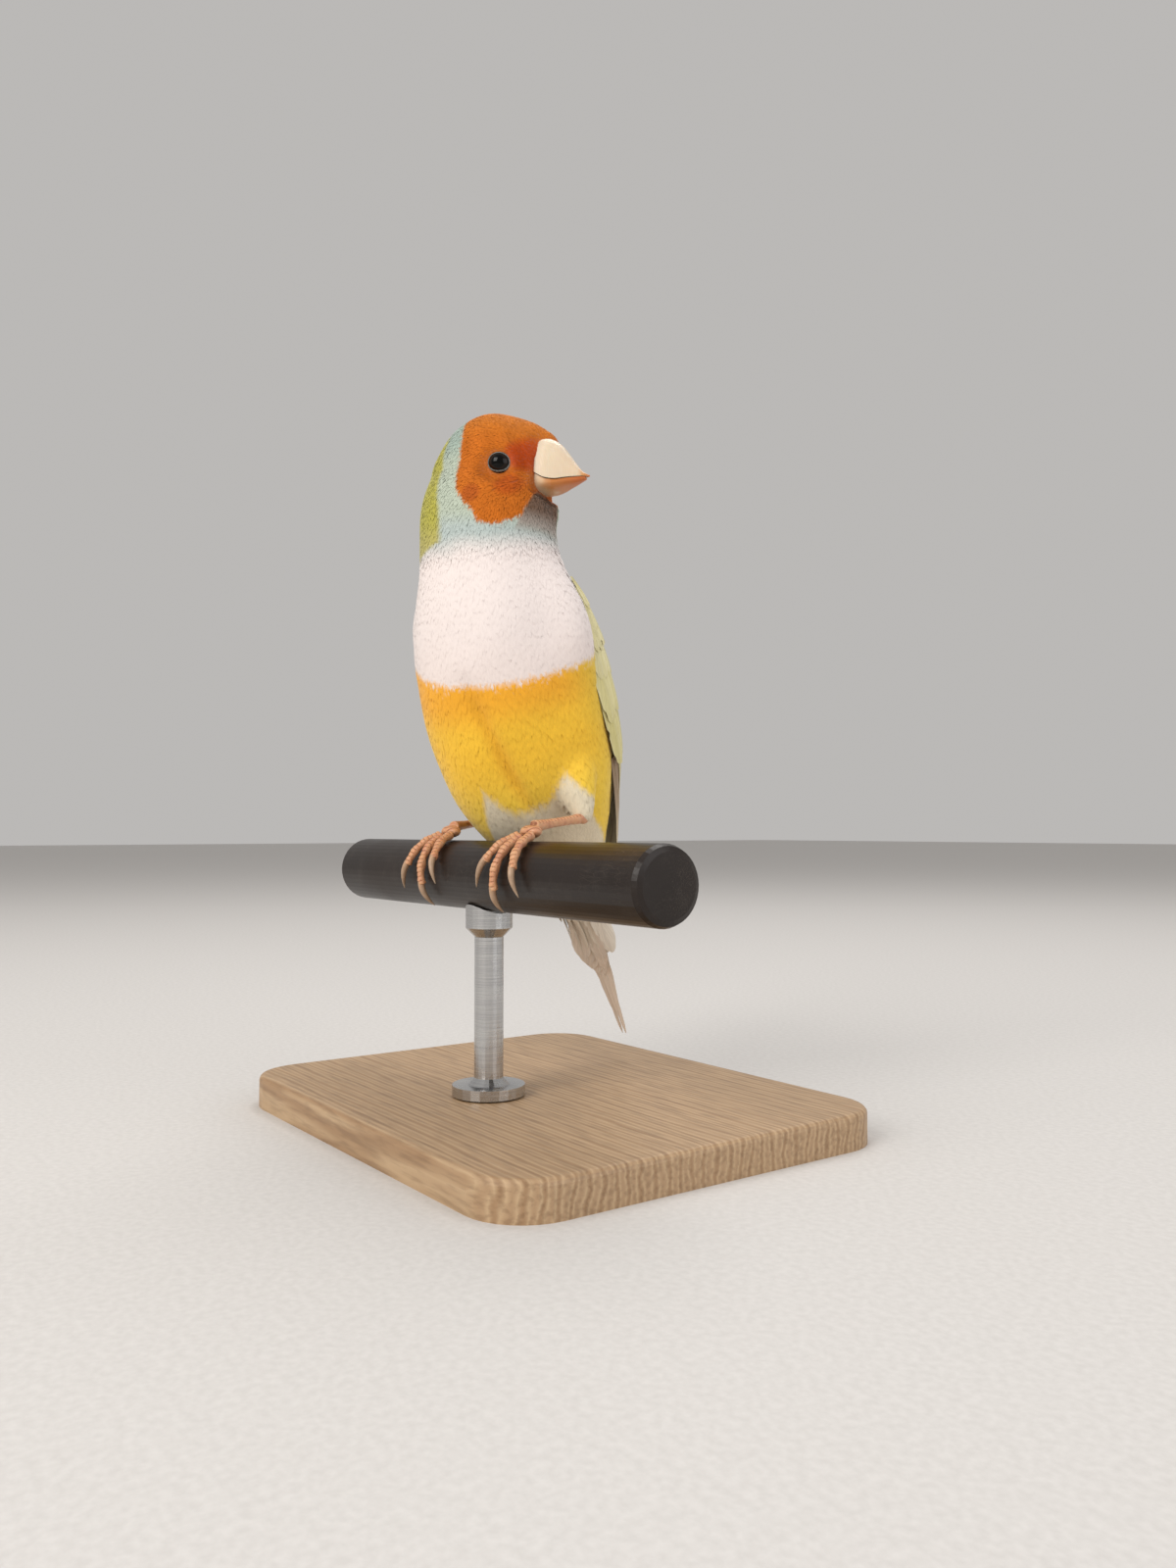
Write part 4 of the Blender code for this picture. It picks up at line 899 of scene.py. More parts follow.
class Vanes:
    """Feathers gathered for one mesh."""

    def __init__(self, seed):
        self.draw = np.random.default_rng(seed)
        self.points, self.faces, self.blades, self.colours = [], [], [], []
        self.count = 0

    def add(self, spots, normals, half, lean, camber, thick, colour, fringe, dark=None, shaft=0.0):
        """Add a vane along spots, with half its width at each, its tone varied a little."""
        rows, columns = len(spots), len(VANE_COLUMNS)
        along = unit(np.gradient(spots, axis=0))
        across = unit(np.cross(normals, along))
        u = np.linspace(0.0, 1.0, rows)
        across_place = np.tile(VANE_COLUMNS, (rows, 1))
        for edge in (0, columns - 1):
            for cut in self.draw.integers(int(rows * 0.5), rows - 2, size=2):
                across_place[cut, edge] *= self.draw.uniform(0.8, 0.93)
        offset = across_place * half[:, None]
        on_shaft = shaft * (VANE_COLUMNS == 0.0)
        height = (lean * offset + camber * half[:, None] * (1.0 - across_place ** 2)
                  + on_shaft * (1.0 - 0.7 * u)[:, None])
        body = np.clip(1.0 - np.abs(across_place), 0.0, 1.0) ** 0.5 * thick / 2.0
        middle = spots[:, None] + across[:, None] * offset[..., None]
        top = middle + normals[:, None] * (height + body)[..., None]
        low = middle + normals[:, None] * (height - on_shaft - body)[..., None]
        top_id = np.arange(rows * columns).reshape(rows, columns) + self.count
        low_id = top_id.copy()
        low_id[:, 1:-1] = (np.arange(rows * (columns - 2)).reshape(rows, columns - 2)
                           + self.count + rows * columns)
        for i in range(rows - 1):
            for j in range(columns - 1):
                for grid, way in ((top_id, 1), (low_id, -1)):
                    a, b, c, d = grid[i, j], grid[i, j + 1], grid[i + 1, j + 1], grid[i + 1, j]
                    self.faces.append((a, b, c, d) if way == 1 else (a, d, c, b))
        for end, way in ((0, -1), (rows - 1, 1)):
            self.faces.append(tuple((list(top_id[end]) + list(low_id[end, 1:-1][::-1]))[::way]))
        tone = self.draw.uniform(0.0, 1.0)
        for place in (across_place, across_place[:, 1:-1]):
            grid = np.stack((place, np.tile(u[:, None], (1, place.shape[1])),
                             np.full(place.shape, tone)), axis=-1).reshape(-1, 3)
            self.blades.append(grid)
            tint = laid_over(colour, (fringe, step(np.abs(grid[:, 0]), 0.62, 0.95)
                                      * step(grid[:, 1], 0.15, 0.5)))
            if dark is not None:
                tint = laid_over(tint, (dark, 1.0 - step(grid[:, 1], 0.1, 0.6)))
            self.colours.append(tint)
        self.points.append(np.concatenate((top.reshape(-1, 3), low[:, 1:-1].reshape(-1, 3))))
        self.count += len(self.points[-1])

    def mesh(self, name):
        """All the vanes as one mesh."""
        made = bpy.data.meshes.new(name)
        made.from_pydata((np.concatenate(self.points) * MM).tolist(), [],
                         [tuple(int(i) for i in face) for face in self.faces])
        made.update()
        paint(made, np.concatenate(self.colours))
        store_points(made, "blade", np.concatenate(self.blades))
        made.shade_smooth()
        made.set_sharp_from_angle(angle=math.radians(50.0))
        return made


def outline_at(outline, width):
    """Half width of a vane from root to tip."""
    return np.interp(np.linspace(0.0, 1.0, VANE_ROWS), *zip(*outline)) * width / 2.0


def body_vane(vanes, root, tip, lift, half, lean, camber, colours, bend=1.0, thick=0.14, shaft=0.1):
    """Vane that follows the body from its root to its tip."""
    u = np.linspace(0.0, 1.0, VANE_ROWS)
    place = root[0] + (tip[0] - root[0]) * u
    angle = root[1] + (tip[1] - root[1]) * u ** bend
    height = lift[0] + (lift[1] - lift[0]) * u
    spots = on_body(place, angle, height)
    normals = unit(on_body(place, angle, height + 1.0) - spots)
    vanes.add(spots, normals, half, lean, camber, thick, *colours, shaft=shaft)


def join_base(vanes_piece, name, rings, finish, colour):
    """Join the soft part that the feathers grow from to the feathers' piece."""
    bm = bmesh.new()
    loft(bm, rings)
    base = new_piece(name, mesh_of(bm, name), finish, smooth=True)
    points = points_of(base.data)
    paint(base.data, colour(points))
    store_points(base.data, "blade", np.tile((0.3, 0.8, 0.5), (len(points), 1)))
    with bpy.context.temp_override(active_object=vanes_piece, selected_editable_objects=[vanes_piece, base]):
        bpy.ops.object.join()


FLIGHT = [(0.0, 0.4), (0.08, 0.62), (0.3, 0.9), (0.6, 1.0), (0.8, 0.92), (0.92, 0.7), (0.98, 0.38),
          (1.0, 0.12)]
COVERT = [(0.0, 0.5), (0.2, 0.86), (0.55, 1.0), (0.8, 0.9), (0.93, 0.6), (1.0, 0.15)]
ARM = np.array([
    (5.6, 116.0, 134.0, 0.5), (6.4, 103.0, 147.0, 1.1), (7.4, 91.0, 158.0, 1.3),
    (8.6, 90.0, 166.0, 1.2), (9.8, 99.0, 169.0, 0.9), (10.8, 108.0, 167.0, 0.5)])
# Tiers, the inner first: count, lowest feather's root and tip, its width and lifts, and the highest's
TIERS = [
    ("primary", 8, (9.5, 100), (14.1, 146), 4.0, (0.8, 2.9), (9.3, 134), (12.9, 162), 4.4, (0.7, 1.5)),
    ("secondary", 6, (8.6, 110), (12.0, 133), 4.4, (0.9, 2.1), (8.6, 146), (12.0, 161), 4.8, (0.9, 1.8)),
    ("tertial", 4, (8.3, 144), (11.9, 153), 5.0, (1.1, 2.2), (8.0, 165), (10.9, 171), 5.2, (1.0, 1.8)),
    ("greater", 9, (7.6, 94.0), (9.8, 103), 4.4, (0.7, 1.9), (7.6, 160), (9.8, 165), 4.8, (1.0, 1.9)),
    ("median", 9, (6.9, 95.0), (8.6, 96.0), 4.2, (0.5, 1.6), (6.9, 156), (8.5, 161), 4.6, (0.9, 2.1)),
    ("lesser", 9, (6.4, 101), (7.8, 97.0), 3.6, (0.2, 1.3), (6.4, 149), (7.8, 156), 4.0, (0.9, 2.1)),
    ("lesser", 8, (6.0, 106), (7.2, 102), 3.2, (0.4, 1.4), (6.0, 144), (7.2, 152), 3.6, (0.8, 1.95)),
    ("lesser", 8, (5.7, 110), (6.8, 106), 3.0, (0.2, 1.35), (5.7, 139), (6.8, 147), 3.2, (0.2, 1.6)),
    ("lesser", 6, (5.5, 114), (6.3, 111), 2.6, (0.0, 1.1), (5.5, 135), (6.3, 141), 2.8, (0.0, 1.2)),
]
# Colour of each kind of wing feather, its pale fringe, and the darker colour towards its root
WING_COLOURS = {
    "primary": ((0.50, 0.38, 0.22), (0.70, 0.60, 0.34), (0.32, 0.22, 0.13)),
    "secondary": ((0.62, 0.54, 0.22), (0.72, 0.64, 0.30), (0.52, 0.43, 0.2)),
    "tertial": ((0.64, 0.57, 0.22), (0.72, 0.64, 0.29), (0.55, 0.47, 0.2)),
    "greater": ((0.66, 0.59, 0.25), (0.74, 0.67, 0.34), (0.58, 0.51, 0.21)),
    "median": ((0.69, 0.62, 0.29), (0.75, 0.68, 0.36), (0.62, 0.55, 0.23)),
    "lesser": ((0.71, 0.64, 0.34), (0.76, 0.69, 0.40), (0.64, 0.57, 0.26)),
}
flight_feathers = feather_finish("wing feathers", 16.0, 0.14, 0.7)

for side, wing_name in ((1.0, "left"), (-1.0, "right")):
    vanes = Vanes(21)
    for kind, count, root_a, tip_a, wide_a, lift_a, root_b, tip_b, wide_b, lift_b in TIERS:
        outline = FLIGHT if kind in ("primary", "secondary", "tertial") else COVERT
        for u in np.arange(count) / (count - 1):
            root, tip, lift = ([a + (b - a) * u for a, b in zip(*pair)]
                               for pair in ((root_a, root_b), (tip_a, tip_b), (lift_a, lift_b)))
            shift = vanes.draw.uniform(-1.0, 1.0, size=4)
            root = (root[0] + 0.07 * shift[0], (root[1] + 0.9 * shift[1]) * side)
            tip = (tip[0] + 0.11 * shift[2], (tip[1] + 1.5 * shift[3]) * side)
            lift = (lift[0], lift[1] + 0.12 * shift[1])
            half = outline_at(outline, wide_a + (wide_b - wide_a) * u)
            body_vane(vanes, root, tip, lift, half, 0.1 * side, 0.1, WING_COLOURS[kind],
                      1.5 if kind == "primary" else 1.0)
    wing = new_piece("plumage_wing_" + wing_name, vanes.mesh("wing " + wing_name), flight_feathers)
    rings = []
    for place, low, high, thick in between(ARM, np.linspace(0.0, 5.0, 16)):
        angles = np.linspace(low, high, 12) * side
        swell = thick * np.sin(math.pi * np.linspace(0.1, 0.9, 12))
        rings.append(np.concatenate((on_body(place, angles, -0.2), on_body(place, angles, swell)[::-1])))
    join_base(wing, "arm", rings, flight_feathers,
              lambda points: np.tile((0.60, 0.54, 0.27), (len(points), 1)))
    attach(wing, "root")
    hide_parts("wing_" + wing_name)

# Tail.
# Six pairs of narrow feathers, the middle pair drawn out to two long points, with short coverts
# over and under their roots. They are stacked, the middle pair uppermost.

TAIL_START = 12.7
LONG_TAIL = [(0.0, 0.8), (0.3, 1.0), (0.5, 0.97), (0.62, 0.8), (0.74, 0.5), (0.86, 0.34), (0.96, 0.22),
             (1.0, 0.07)]
# Pairs from the middle one: length, width, turn outwards in degrees, drop
PAIRS = [(38.4, 3.2, 0.9, 0.0), (24.0, 4.4, 2.7, 0.45), (23.1, 4.6, 4.9, 0.8), (22.1, 4.6, 7.1, 1.15),
         (21.0, 4.6, 9.2, 1.5), (19.5, 4.6, 11.3, 1.85)]
# Rows over and under the roots: count, angles from and to, root and tip, width, lifts, colours
COVERT_ROWS = [
    (7, (138.0, 222.0), (12.6, 14.3), 3.4, (-0.5, 0.0), ((0.52, 0.56, 0.50), (0.58, 0.61, 0.54))),
    (6, (142.0, 218.0), (13.1, 15.2), 3.8, (-0.7, -0.2), ((0.50, 0.53, 0.47), (0.58, 0.60, 0.52))),
    (8, (-58.0, 58.0), (12.6, 14.5), 3.4, (-0.5, 0.1), ((0.76, 0.70, 0.60), (0.80, 0.75, 0.66))),
    (7, (-50.0, 50.0), (13.2, 15.9), 3.8, (-0.7, 0.0), ((0.74, 0.67, 0.57), (0.80, 0.75, 0.66))),
]
tail_way = unit(spine_point(15.0) - spine_point(13.0))[0]
tail_up = unit(np.cross(LEFT, tail_way))
tail_side = unit(np.cross(tail_way, tail_up))
vanes = Vanes(31)
u = np.linspace(0.0, 1.0, VANE_ROWS)[:, None]
for pair, (length, width, turn, drop) in reversed(list(enumerate(PAIRS))):
    for hand in (-1.0, 1.0):
        turn_way = math.radians(turn * hand)
        way = tail_way * math.cos(turn_way) + np.cross(tail_up, tail_way) * math.sin(turn_way)
        start = (spine_point(TAIL_START)[0] + tail_way * 2.6 + tail_side * hand * 1.0
                 - tail_up * (drop + 0.1 * (hand > 0)))
        spots = start + way * (length - 2.6) * u - tail_up * 0.5 * (u - u ** 2)
        outline, pale = (FLIGHT, (0.84, 0.74, 0.64)) if pair else (LONG_TAIL, (0.86, 0.76, 0.66))
        vanes.add(spots, np.tile(tail_up, (VANE_ROWS, 1)), outline_at(outline, width), -0.1 * hand,
                  0.08, 0.16, pale, (0.88, 0.80, 0.72), (0.78, 0.68, 0.58), shaft=0.12)
for count, (first, last), (root, tip), width, lift, colours in COVERT_ROWS:
    for angle in first + (last - first) * np.arange(count) / (count - 1):
        body_vane(vanes, (root, angle), (tip + vanes.draw.uniform(-0.12, 0.12), angle), lift,
                  outline_at(COVERT, width), 0.08, 0.12, colours, shaft=0.05)
tail_feathers = feather_finish("tail feathers", 16.0, 0.12, 0.6)
tail = new_piece("plumage_tail", vanes.mesh("tail"), tail_feathers)
join_base(tail, "tail_root", [on_body(place, np.linspace(0.0, 345.0, 24), -0.75 - (place - 13.0) * 0.5)
                              for place in np.linspace(13.0, 14.4, 8)], tail_feathers, markings)
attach(tail, "root")
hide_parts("tail")

# Bill.
# Two horny sheaths over bone: a conical upper half with a nostril on each side at its root, and a
# lower half that closes under it along the mouth line. The horn is ivory, orange at the tip.

# Sections: ahead, then height of the culmen, the mouth line and the lower edge, and half width
BILL = np.array([
    (8.8, 6.0, -0.7, -3.75, 4.5), (10.8, 5.9, -1.75, -3.55, 4.2), (12.6, 4.9, -1.9, -3.15, 3.4),
    (14.0, 3.25, -1.55, -2.7, 2.6), (15.3, 1.65, -1.25, -2.35, 1.8), (16.6, 0.15, -1.0, -1.85, 1.0),
    (17.4, -0.4, -0.95, -1.5, 0.55)])
BILL_TIP = (18.1, -0.72, -0.95, -0.95, 0.12)
MOUTH_GAP = 0.12


def bill_half(upper, rows):
    """Sections of one half of the bill, and its points' places on it: along, height and side."""
    rings, places = [], []
    turn = np.linspace(0.0, math.pi, 27)
    inner = np.linspace(-0.8, 0.8, 6)
    for ahead, culmen, mouth, under, wide in between(rows, np.linspace(0.0, len(rows) - 1.0, 40)):
        flat = mouth if upper else mouth - MOUTH_GAP
        rise = (culmen if upper else under) - flat
        wide = max(wide if upper else wide * 0.93, 0.06)
        share = (ahead - rows[0][0]) / (BILL_TIP[0] - rows[0][0])
        full = 0.7 + 0.2 * share if upper else 0.56 + 0.24 * share
        side = np.append(wide * np.sign(np.cos(turn)) * np.abs(np.cos(turn)) ** full, inner * wide)
        up = np.append(flat + rise * np.sin(turn) ** full,
                       flat + (0.16 * rise) * (1.0 - (inner / 0.9) ** 2))
        rings.append(on_head(ahead, side, up))
        places.append(np.stack((np.full(len(side), share), (up - flat) / (rise + 1e-9), side), axis=1))
    return rings, np.concatenate(places)


def along_bill(tree, sway):
    """Place along the bill, swayed by clouds, with its parts and the clouds."""
    split = node(tree, "ShaderNodeSeparateXYZ", {0: painted(tree, "on_bill", "Vector")}).outputs
    cloud = noise(tree, object_place(tree), 420.0, 4.0)
    swayed = calc(tree, "MULTIPLY_ADD", split[0], 1.0 - sway, calc(tree, "MULTIPLY", cloud, sway))
    return swayed, split, cloud


horn, tree = new_finish("bill horn", {"Coat Weight": 0.25, "Coat Roughness": 0.25,
                                      "Subsurface Weight": 0.12,
                                      "Subsurface Radius": (0.0012, 0.0006, 0.0003),
                                      "Subsurface Scale": 1.0})
swayed, split, _ = along_bill(tree, 0.17)
ivory = ramp(tree, swayed, [(0.08, (0.62, 0.51, 0.38)), (0.26, (0.79, 0.66, 0.49)),
                            (0.74, (0.77, 0.60, 0.42)), (0.82, (0.62, 0.30, 0.10)),
                            (0.88, (0.52, 0.15, 0.03))])
growth = node(tree, "ShaderNodeCombineXYZ", {0: split[0], 1: split[2]}).outputs[0]
lines = noise(tree, vector(tree, "MULTIPLY", growth, (3.0, 5.0, 1.0)), 5.0, 4.0)
veil = ramp(tree, lines, [(0.35, (0.9, 0.87, 0.83)), (0.65, (1.0, 1.0, 1.0))])
surface(tree, mixed(tree, 1.0, ivory, veil, "MULTIPLY"), (lines, 0.3, 0.5), (lines, 0.3, 0.00005))

amber, tree = new_finish("lower bill horn", {"Coat Weight": 0.2, "Coat Roughness": 0.3})
swayed, _, cloud = along_bill(tree, 0.25)
tint = ramp(tree, swayed, [(0.14, (0.74, 0.60, 0.42)), (0.28, (0.69, 0.45, 0.25)),
                           (0.4, (0.57, 0.20, 0.04)), (0.7, (0.52, 0.13, 0.02)),
                           (0.9, (0.47, 0.11, 0.015))])
surface(tree, tint, (cloud, 0.32, 0.52), (cloud, 0.25, 0.00005))

for half_name, upper, finish in (("bill_upper", True, horn), ("bill_lower", False, amber)):
    rings, places = bill_half(upper, np.vstack((BILL, BILL_TIP)) if upper else BILL)
    bm = bmesh.new()
    loft(bm, rings)
    half = new_piece("horn_" + half_name, mesh_of(bm, half_name), finish, smooth=True)
    store_points(half.data, "on_bill", places)
    half.data.set_sharp_from_angle(angle=math.radians(48.0))
    if upper:
        points = points_of(half.data)
        ahead, left, up = head_place(points)
        for side in EYE:
            nostril = np.stack((ahead - 11.7, (left - 2.7 * side) * 0.6, (up - 3.7) * 1.4))
            pit = np.exp(-(np.linalg.norm(nostril, axis=0) / 0.42) ** 2)
            points -= 0.4 * np.outer(pit, HEAD_LEFT * side + 0.3 * CROWN_WAY)
        move_points(half.data, points)
    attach(half, "root")
    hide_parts(half_name)

# Eyes.
# A glossy, almost black ball with a dark brown iris, set in the skull so that only its front
# stands clear, with a bare ring of pale grey lid drawn close round it.

EYE_RADIUS = 2.1
glass, tree = new_finish("eye", {"Coat Weight": 0.06, "Coat Roughness": 0.02,
                                 "Specular IOR Level": 0.14})
iris = ramp(tree, painted(tree, "from_pupil"), [
    (0.0, (0.001, 0.001, 0.001)), (0.5, (0.0015, 0.0012, 0.001)), (0.62, (0.014, 0.007, 0.004)),
    (0.85, (0.008, 0.004, 0.003)), (1.0, (0.002, 0.001, 0.001))])
surface(tree, iris, (noise(tree, object_place(tree), 3000.0, 2.0), 0.05, 0.12))

rim, tree = new_finish("bare lid", {"Specular IOR Level": 0.4})
creases = node(tree, "ShaderNodeTexVoronoi",
               {"Vector": object_place(tree), "Scale": 3200.0}).outputs["Distance"]
surface(tree, ramp(tree, creases, [(0.1, (0.07, 0.075, 0.07)), (0.6, (0.17, 0.185, 0.175))]),
        (creases, 0.6, 0.4), (creases, 0.6, 0.00006))

for side, side_name in ((1.0, "left"), (-1.0, "right")):
    look = LOOK[side]
    bm = bmesh.new()
    bmesh.ops.create_uvsphere(bm, u_segments=48, v_segments=32, radius=EYE_RADIUS * MM)
    turn = Vector((0.0, 0.0, 1.0)).rotation_difference(Vector(look)).to_matrix().to_4x4()
    turn.translation = Vector(EYE[side] * MM)
    bmesh.ops.transform(bm, matrix=turn, verts=bm.verts)
    ball = new_piece("ball_of_eye_" + side_name, mesh_of(bm, "eye"), glass, smooth=True)
    away = points_of(ball.data) - EYE[side]
    around = np.linalg.norm(away - np.outer(away @ look, look), axis=1)
    store_points(ball.data, "from_pupil", np.where(away @ look > 0.0, around / EYE_RADIUS, 1.0))
    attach(ball, "root")
    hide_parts("eye_" + side_name)

    # The ring: a flattened bead that leans on the ball, puckered all the way round
    across = unit(np.cross(look, CROWN_WAY))
    high = np.cross(across, look)
    bm = bmesh.new()
    rows = []
    for i in range(96):
        turn = 2.0 * math.pi * i / 96
        out_way = across * math.cos(turn) + high * math.sin(turn)
        wide = 1.92 - 0.28 * math.sin(turn) ** 2
        deep = math.sqrt(EYE_RADIUS ** 2 - wide ** 2)
        pucker = 1.0 + 0.1 * math.sin(turn * 17.0 + math.sin(turn * 3.0))
        bends = [2.0 * math.pi * k / 12 for k in range(12)]
        rows.append([bm.verts.new((EYE[side] + out_way * (wide + 0.12 * math.cos(bend))
                                   + look * (deep + 0.2 * math.sin(bend) * pucker
                                             - 0.1 * math.cos(bend))) * MM) for bend in bends])
    for row, after in zip(rows, rows[1:] + rows[:1]):
        for k in range(12):
            j = (k + 1) % 12
            bm.faces.new((row[k], after[k], after[j], row[j]))
    lid = new_piece("lid_" + side_name, mesh_of(bm, "lid"), rim, smooth=True)
    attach(lid, "root")

# Legs.
# Bare shank, ball of the foot and four toes that grip the perch, three in front and one behind:
# pink orange skin in overlapping scutes along the top, small grains below and pads at the joints.

GRIP = 6.25 + 0.3 + 0.8  # the perch's radius, and the toes' middle line above it
LEG_VOXEL = 0.00013
FEET = {"left": (16.3, 1.0), "right": (-11.0, -1.0)}
# Each toe: where it starts and ends along the perch, its angles round it, and its joints
TOES = {"inner": (-1.9, -4.6, 14.0, 66.0, 2), "middle": (0.0, -1.2, 20.0, 104.0, 3),
        "outer": (1.9, 4.6, 14.0, 76.0, 3), "hind": (-0.3, -1.2, -42.0, -108.0, 1)}
PERCH_MIDDLE = np.array((-2.0, -12.0, 45.0))


def toe_line(foot, out, toe, rise, first, last, count):
    """Points along a toe round the perch, and the way out from the perch at each."""
    start, end, from_angle, to_angle, _ = TOES[toe]
    turn = first + (last - first) * np.linspace(0.0, 1.0, count)
    whole = (turn - from_angle) / (to_angle - from_angle)
    across = foot + out * (start + (end - start) * whole)
    turn = np.radians(turn)
    away = np.stack((np.zeros(count), -np.sin(turn), np.cos(turn)), axis=1)
    rise = np.broadcast_to(rise, (count,))[:, None]
    return PERCH_MIDDLE + np.outer(across, (1.0, 0.0, 0.0)) + away * rise, away


def limb_rings(spots, tops, radii, flatten, sides):
    """Round sections along a limb, set out from the way of its upper side."""
    along = unit(np.gradient(spots, axis=0))
    across = unit(np.cross(along, tops))
    tops = unit(np.cross(across, along))
    turns = np.linspace(0.0, 2.0 * math.pi, sides, endpoint=False)[:, None]
    return [spot + radius * (side * np.sin(turns) + top * np.cos(turns) * flatten)
            for spot, side, top, radius in zip(spots, across, tops, radii)]


def place_on_leg(points, lines):
    """Each point's place along its limb, and how far it is on the limb's upper side."""
    best = np.full(len(points), 1e9)
    along, top = np.zeros(len(points)), np.zeros(len(points))
    for spots, tops in lines:
        length = np.concatenate(((0.0,), np.cumsum(np.linalg.norm(np.diff(spots, axis=0), axis=1))))
        fine = np.linspace(0.0, length[-1], 160)
        line, up = (np.stack([np.interp(fine, length, values[:, k]) for k in range(3)], axis=1)
                    for values in (spots, tops))
        gap = np.linalg.norm(points[:, None] - line[None], axis=2)
        near = np.argmin(gap, axis=1)
        reach = gap[np.arange(len(points)), near]
        closer = reach < best
        way = unit(points - line[near])
        best = np.where(closer, reach, best)
        along = np.where(closer, fine[near], along)
        top = np.where(closer, np.sum(way * unit(up)[near], axis=1), top)
    return along, top


scaly, tree = new_finish("scaly leg skin", {"Subsurface Weight": 0.15,
                                            "Subsurface Radius": (0.001, 0.0004, 0.0002),
                                            "Subsurface Scale": 1.0})
crease = painted(tree, "crease")
cloud = noise(tree, object_place(tree), 500.0, 4.0)
flesh = ramp(tree, cloud, [(0.3, (0.52, 0.235, 0.135)), (0.52, (0.62, 0.32, 0.17)),
                           (0.72, (0.64, 0.37, 0.20))])
lined = ramp(tree, crease, [(0.0, (1.04, 1.02, 1.0)), (0.5, (0.95, 0.9, 0.86)), (1.0, (0.50, 0.36, 0.30))])
grains = node(tree, "ShaderNodeTexVoronoi",
              {"Vector": object_place(tree), "Scale": 3600.0}).outputs["Distance"]
surface(tree, mixed(tree, 1.0, flesh, lined, "MULTIPLY"), (crease, 0.42, 0.62), (grains, 0.4, 0.00005))

claw_horn, tree = new_finish("claw horn", {"Coat Weight": 0.2, "Coat Roughness": 0.3})
tint = ramp(tree, painted(tree, "along_claw"), [
    (0.0, (0.52, 0.31, 0.18)), (0.25, (0.47, 0.31, 0.20)), (0.8, (0.38, 0.26, 0.17)),
    (1.0, (0.46, 0.35, 0.25))])
growth = noise(tree, object_place(tree), 1400.0, 3.0)
veil = ramp(tree, growth, [(0.3, (0.8, 0.78, 0.75)), (0.7, (1.0, 1.0, 1.0))])
surface(tree, mixed(tree, 1.0, tint, veil, "MULTIPLY"), (growth, 0.3, 0.5), (growth, 0.2, 0.00005))

for side_name, (foot, out) in FEET.items():
    ankle = ANKLE[out]
    pad = PERCH_MIDDLE + np.array((foot, -0.5, GRIP + 0.5))
    way = pad + np.array((0.0, 0.6, 0.9)) - ankle
    shank = ankle + way * np.array((-0.06, 0.0, 0.12, 0.3, 0.5, 0.7, 0.86, 1.0))[:, None]
    front = np.tile(unit(np.array((0.0, -0.5, 0.9))), (len(shank), 1))
    lines = [(shank, front)]
    bm = bmesh.new()
    loft(bm, limb_rings(shank, front, 0.85 * np.array((0.8, 1.3, 1.05, 0.92, 0.9, 0.95, 1.1, 1.25)), 1.0, 16))
    bmesh.ops.create_uvsphere(bm, u_segments=20, v_segments=12, radius=1.0, matrix=Matrix.Translation(
        Vector(pad * MM)) @ Matrix.Diagonal((2.5 * MM, 1.55 * MM, 1.15 * MM, 1.0)))
    claws, claw_places = bmesh.new(), []
    for toe, (_, _, first, last, joints) in TOES.items():
        spots, tops = toe_line(foot, out, toe, GRIP, first, last, 31)
        u = np.linspace(0.0, 1.0, 31)
        radii = 0.9 * (0.93 + 0.1 * np.cos(joints * 2.0 * math.pi * u)) * (1.0 - 0.14 * u)
        lines.append((np.concatenate((pad[None], spots)), np.concatenate((tops[:1], tops))))
        loft(bm, limb_rings(spots, tops, radii, 0.95, 16))
        turn = math.copysign(1.0, last - first)
        start = last - turn * math.degrees(0.5 / GRIP)
        sweep = turn * math.degrees(5.1 / GRIP)
        u = np.linspace(0.0, 1.0, 16)
        rise = GRIP + 0.12 + 0.35 * np.sin(math.pi * u) * (1.0 - u)
        spots, tops = toe_line(foot, out, toe, rise, start, start + sweep, 16)
        radii = 0.56 * np.interp(u, (0.0, 0.3, 0.6, 0.85, 1.0), (1.0, 0.92, 0.66, 0.34, 0.08))
        loft(claws, limb_rings(spots, tops, radii, 1.15, 12))
        claw_places.append(np.repeat(u, 12))
    leg = new_piece("skin_leg_" + side_name, mesh_of(bm, "leg " + side_name))
    one_skin(leg, LEG_VOXEL, 0.5, 4)
    points = points_of(leg.data)
    along, top = place_on_leg(points, lines)
    # Overlapping scutes with dark seams on top, and grains below
    on_top = step(top, 0.0, 0.45)
    scute = (along + 0.1 * np.sin(top * 3.0)) / 0.78 % 1.0
    seam = 1.0 - step(np.minimum(scute, 1.0 - scute), 0.02, 0.2)
    grain = ripple(points, 0.16, 5)
    rise = on_top * (0.07 * scute - 0.085 * seam) + (1.0 - on_top) * 0.035 * grain
    move_points(leg.data, points + read(leg.data.vertices, "normal") * rise[:, None])
    store_points(leg.data, "crease", np.clip(on_top * seam + (1.0 - on_top) * step(-grain, 0.1, 0.9) * 0.5,
                                             0.0, 1.0))
    leg.data.materials.clear()
    leg.data.materials.append(scaly)
    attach(leg, "root")
    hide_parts("tarsus_" + side_name, *("toe_" + toe + "_" + side_name for toe in TOES))
    nails = new_piece("horn_claws_" + side_name, mesh_of(claws, "claws " + side_name), claw_horn, smooth=True)
    store_points(nails.data, "along_claw", np.concatenate(claw_places))
    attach(nails, "root")
    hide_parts(*("claw_" + toe + "_" + side_name for toe in TOES))

# Floor, light and camera.
# A plain pale floor under a soft studio light: a broad lamp high on the left, a weaker one on the
# right and a pale surround. The camera stands where the photo was taken from.

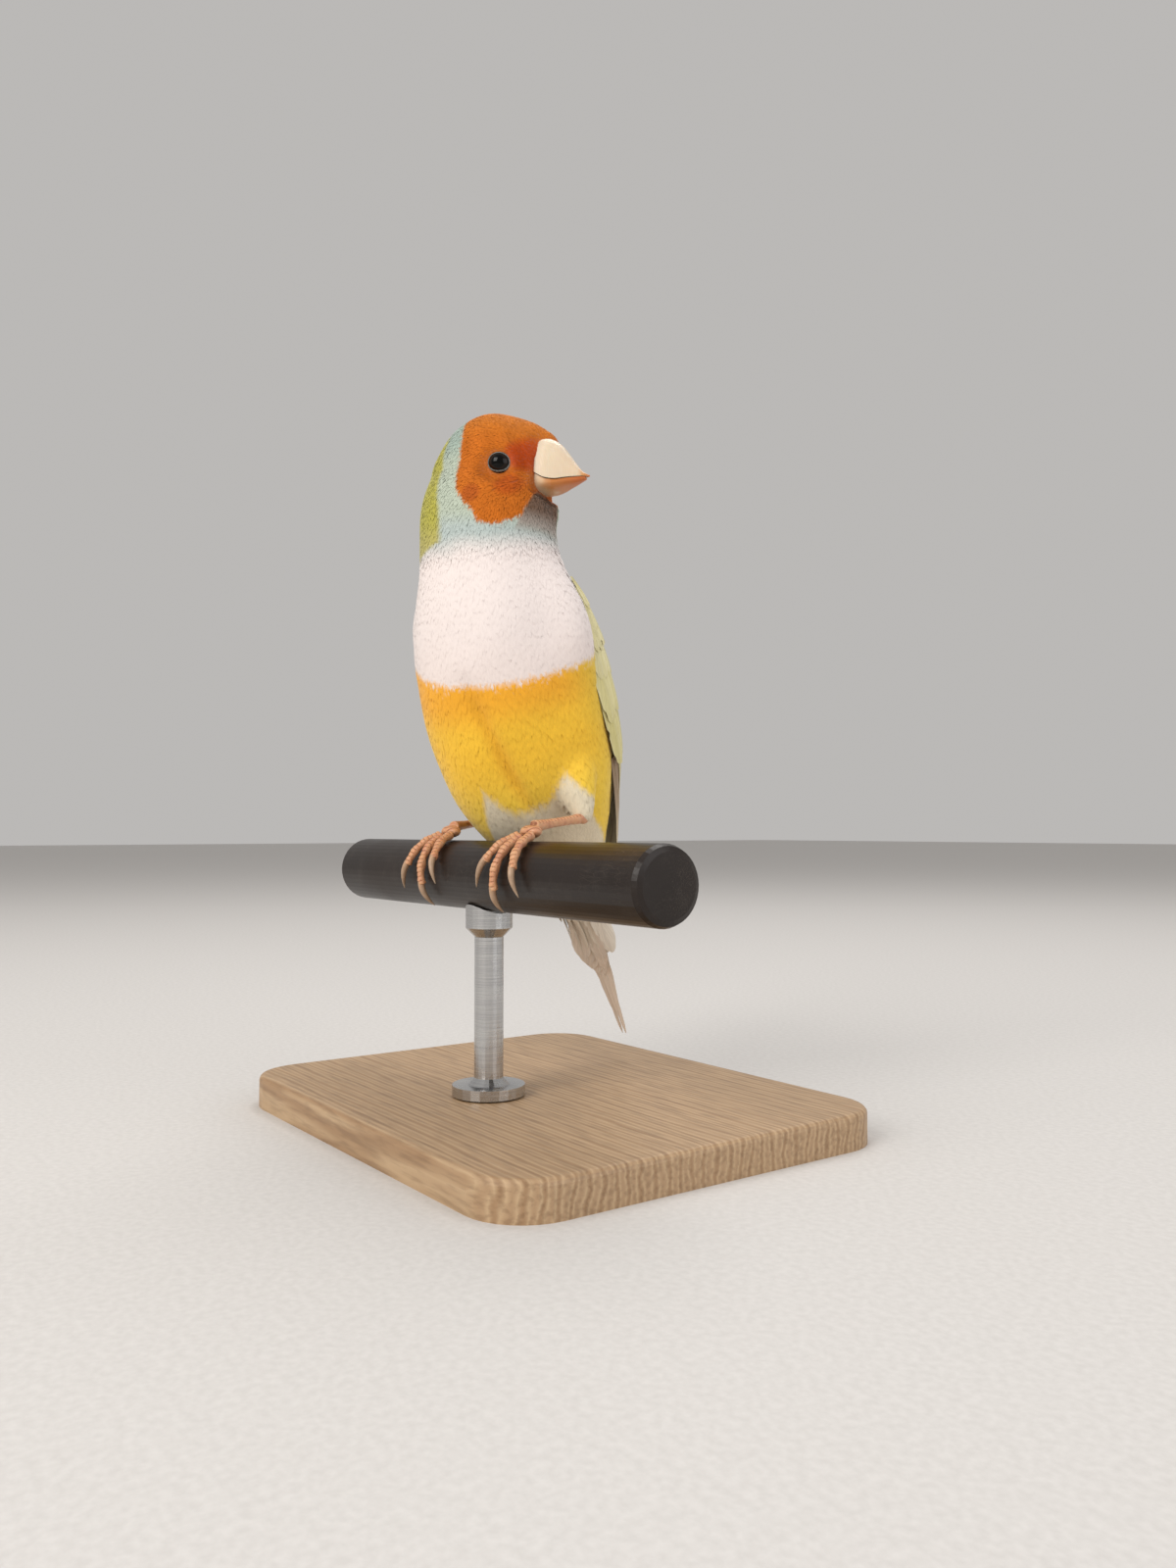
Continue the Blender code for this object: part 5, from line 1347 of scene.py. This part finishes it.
paper, tree = new_finish("pale paper", {"Roughness": 0.9})
fibre = noise(tree, object_place(tree), 900.0, 3.0)
surface(tree, ramp(tree, fibre, [(0.3, (0.60, 0.58, 0.56)), (0.7, (0.66, 0.64, 0.62))]),
        bump=(fibre, 0.05, 0.0001))
bm = bmesh.new()
bmesh.ops.create_grid(bm, x_segments=2, y_segments=2, size=4.0)
floor = new_piece("floor", mesh_of(bm, "floor"), paper)


def lamp(name, size, power, colour, spot, target):
    """Broad soft lamp turned to the bird."""
    light = bpy.data.lights.new(name, "AREA")
    light.size = size
    light.energy = power
    light.color = colour
    thing = bpy.data.objects.new(name, light)
    bpy.context.scene.collection.objects.link(thing)
    thing.location = spot
    thing.rotation_euler = (Vector(target) - Vector(spot)).to_track_quat("-Z", "Y").to_euler()


lamp("key_light", 0.5, 5.6, (1.0, 0.97, 0.93), (0.15, -0.75, 0.55), (0.0, -0.01, 0.08))
lamp("fill_light", 0.6, 2.0, (0.95, 0.97, 1.0), (0.75, 0.25, 0.35), (0.0, -0.01, 0.08))
lamp("top_light", 0.5, 2.6, (1.0, 0.98, 0.96), (-0.2, 0.3, 0.8), (0.0, 0.0, 0.08))
world = bpy.data.worlds.new("pale room")
bpy.context.scene.world = world
world.use_nodes = True
world.node_tree.nodes["Background"].inputs["Color"].default_value = (0.80, 0.78, 0.76, 1.0)
world.node_tree.nodes["Background"].inputs["Strength"].default_value = 0.62

camera = bpy.data.objects.new("camera", bpy.data.cameras.new("camera"))
bpy.context.scene.collection.objects.link(camera)
camera.data.lens = 27.0
camera.data.sensor_width = 36.0
camera.data.clip_start = 0.01
camera.location = (0.1808, -0.1223, 0.0533)
flat_way = Vector((-0.807, 0.590))
camera.rotation_mode = "QUATERNION"
camera.rotation_quaternion = Vector(
    (*flat_way, flat_way.length * math.tan(math.radians(2.2)))).to_track_quat("-Z", "Y")
bpy.context.scene.camera = camera
bpy.context.scene.view_settings.view_transform = "Standard"

for used in (slim_blade, broad_blade):
    bpy.data.objects.remove(used, do_unlink=True)
for left_over in ("outward", "lie", "size"):
    skin.data.attributes.remove(skin.data.attributes[left_over])
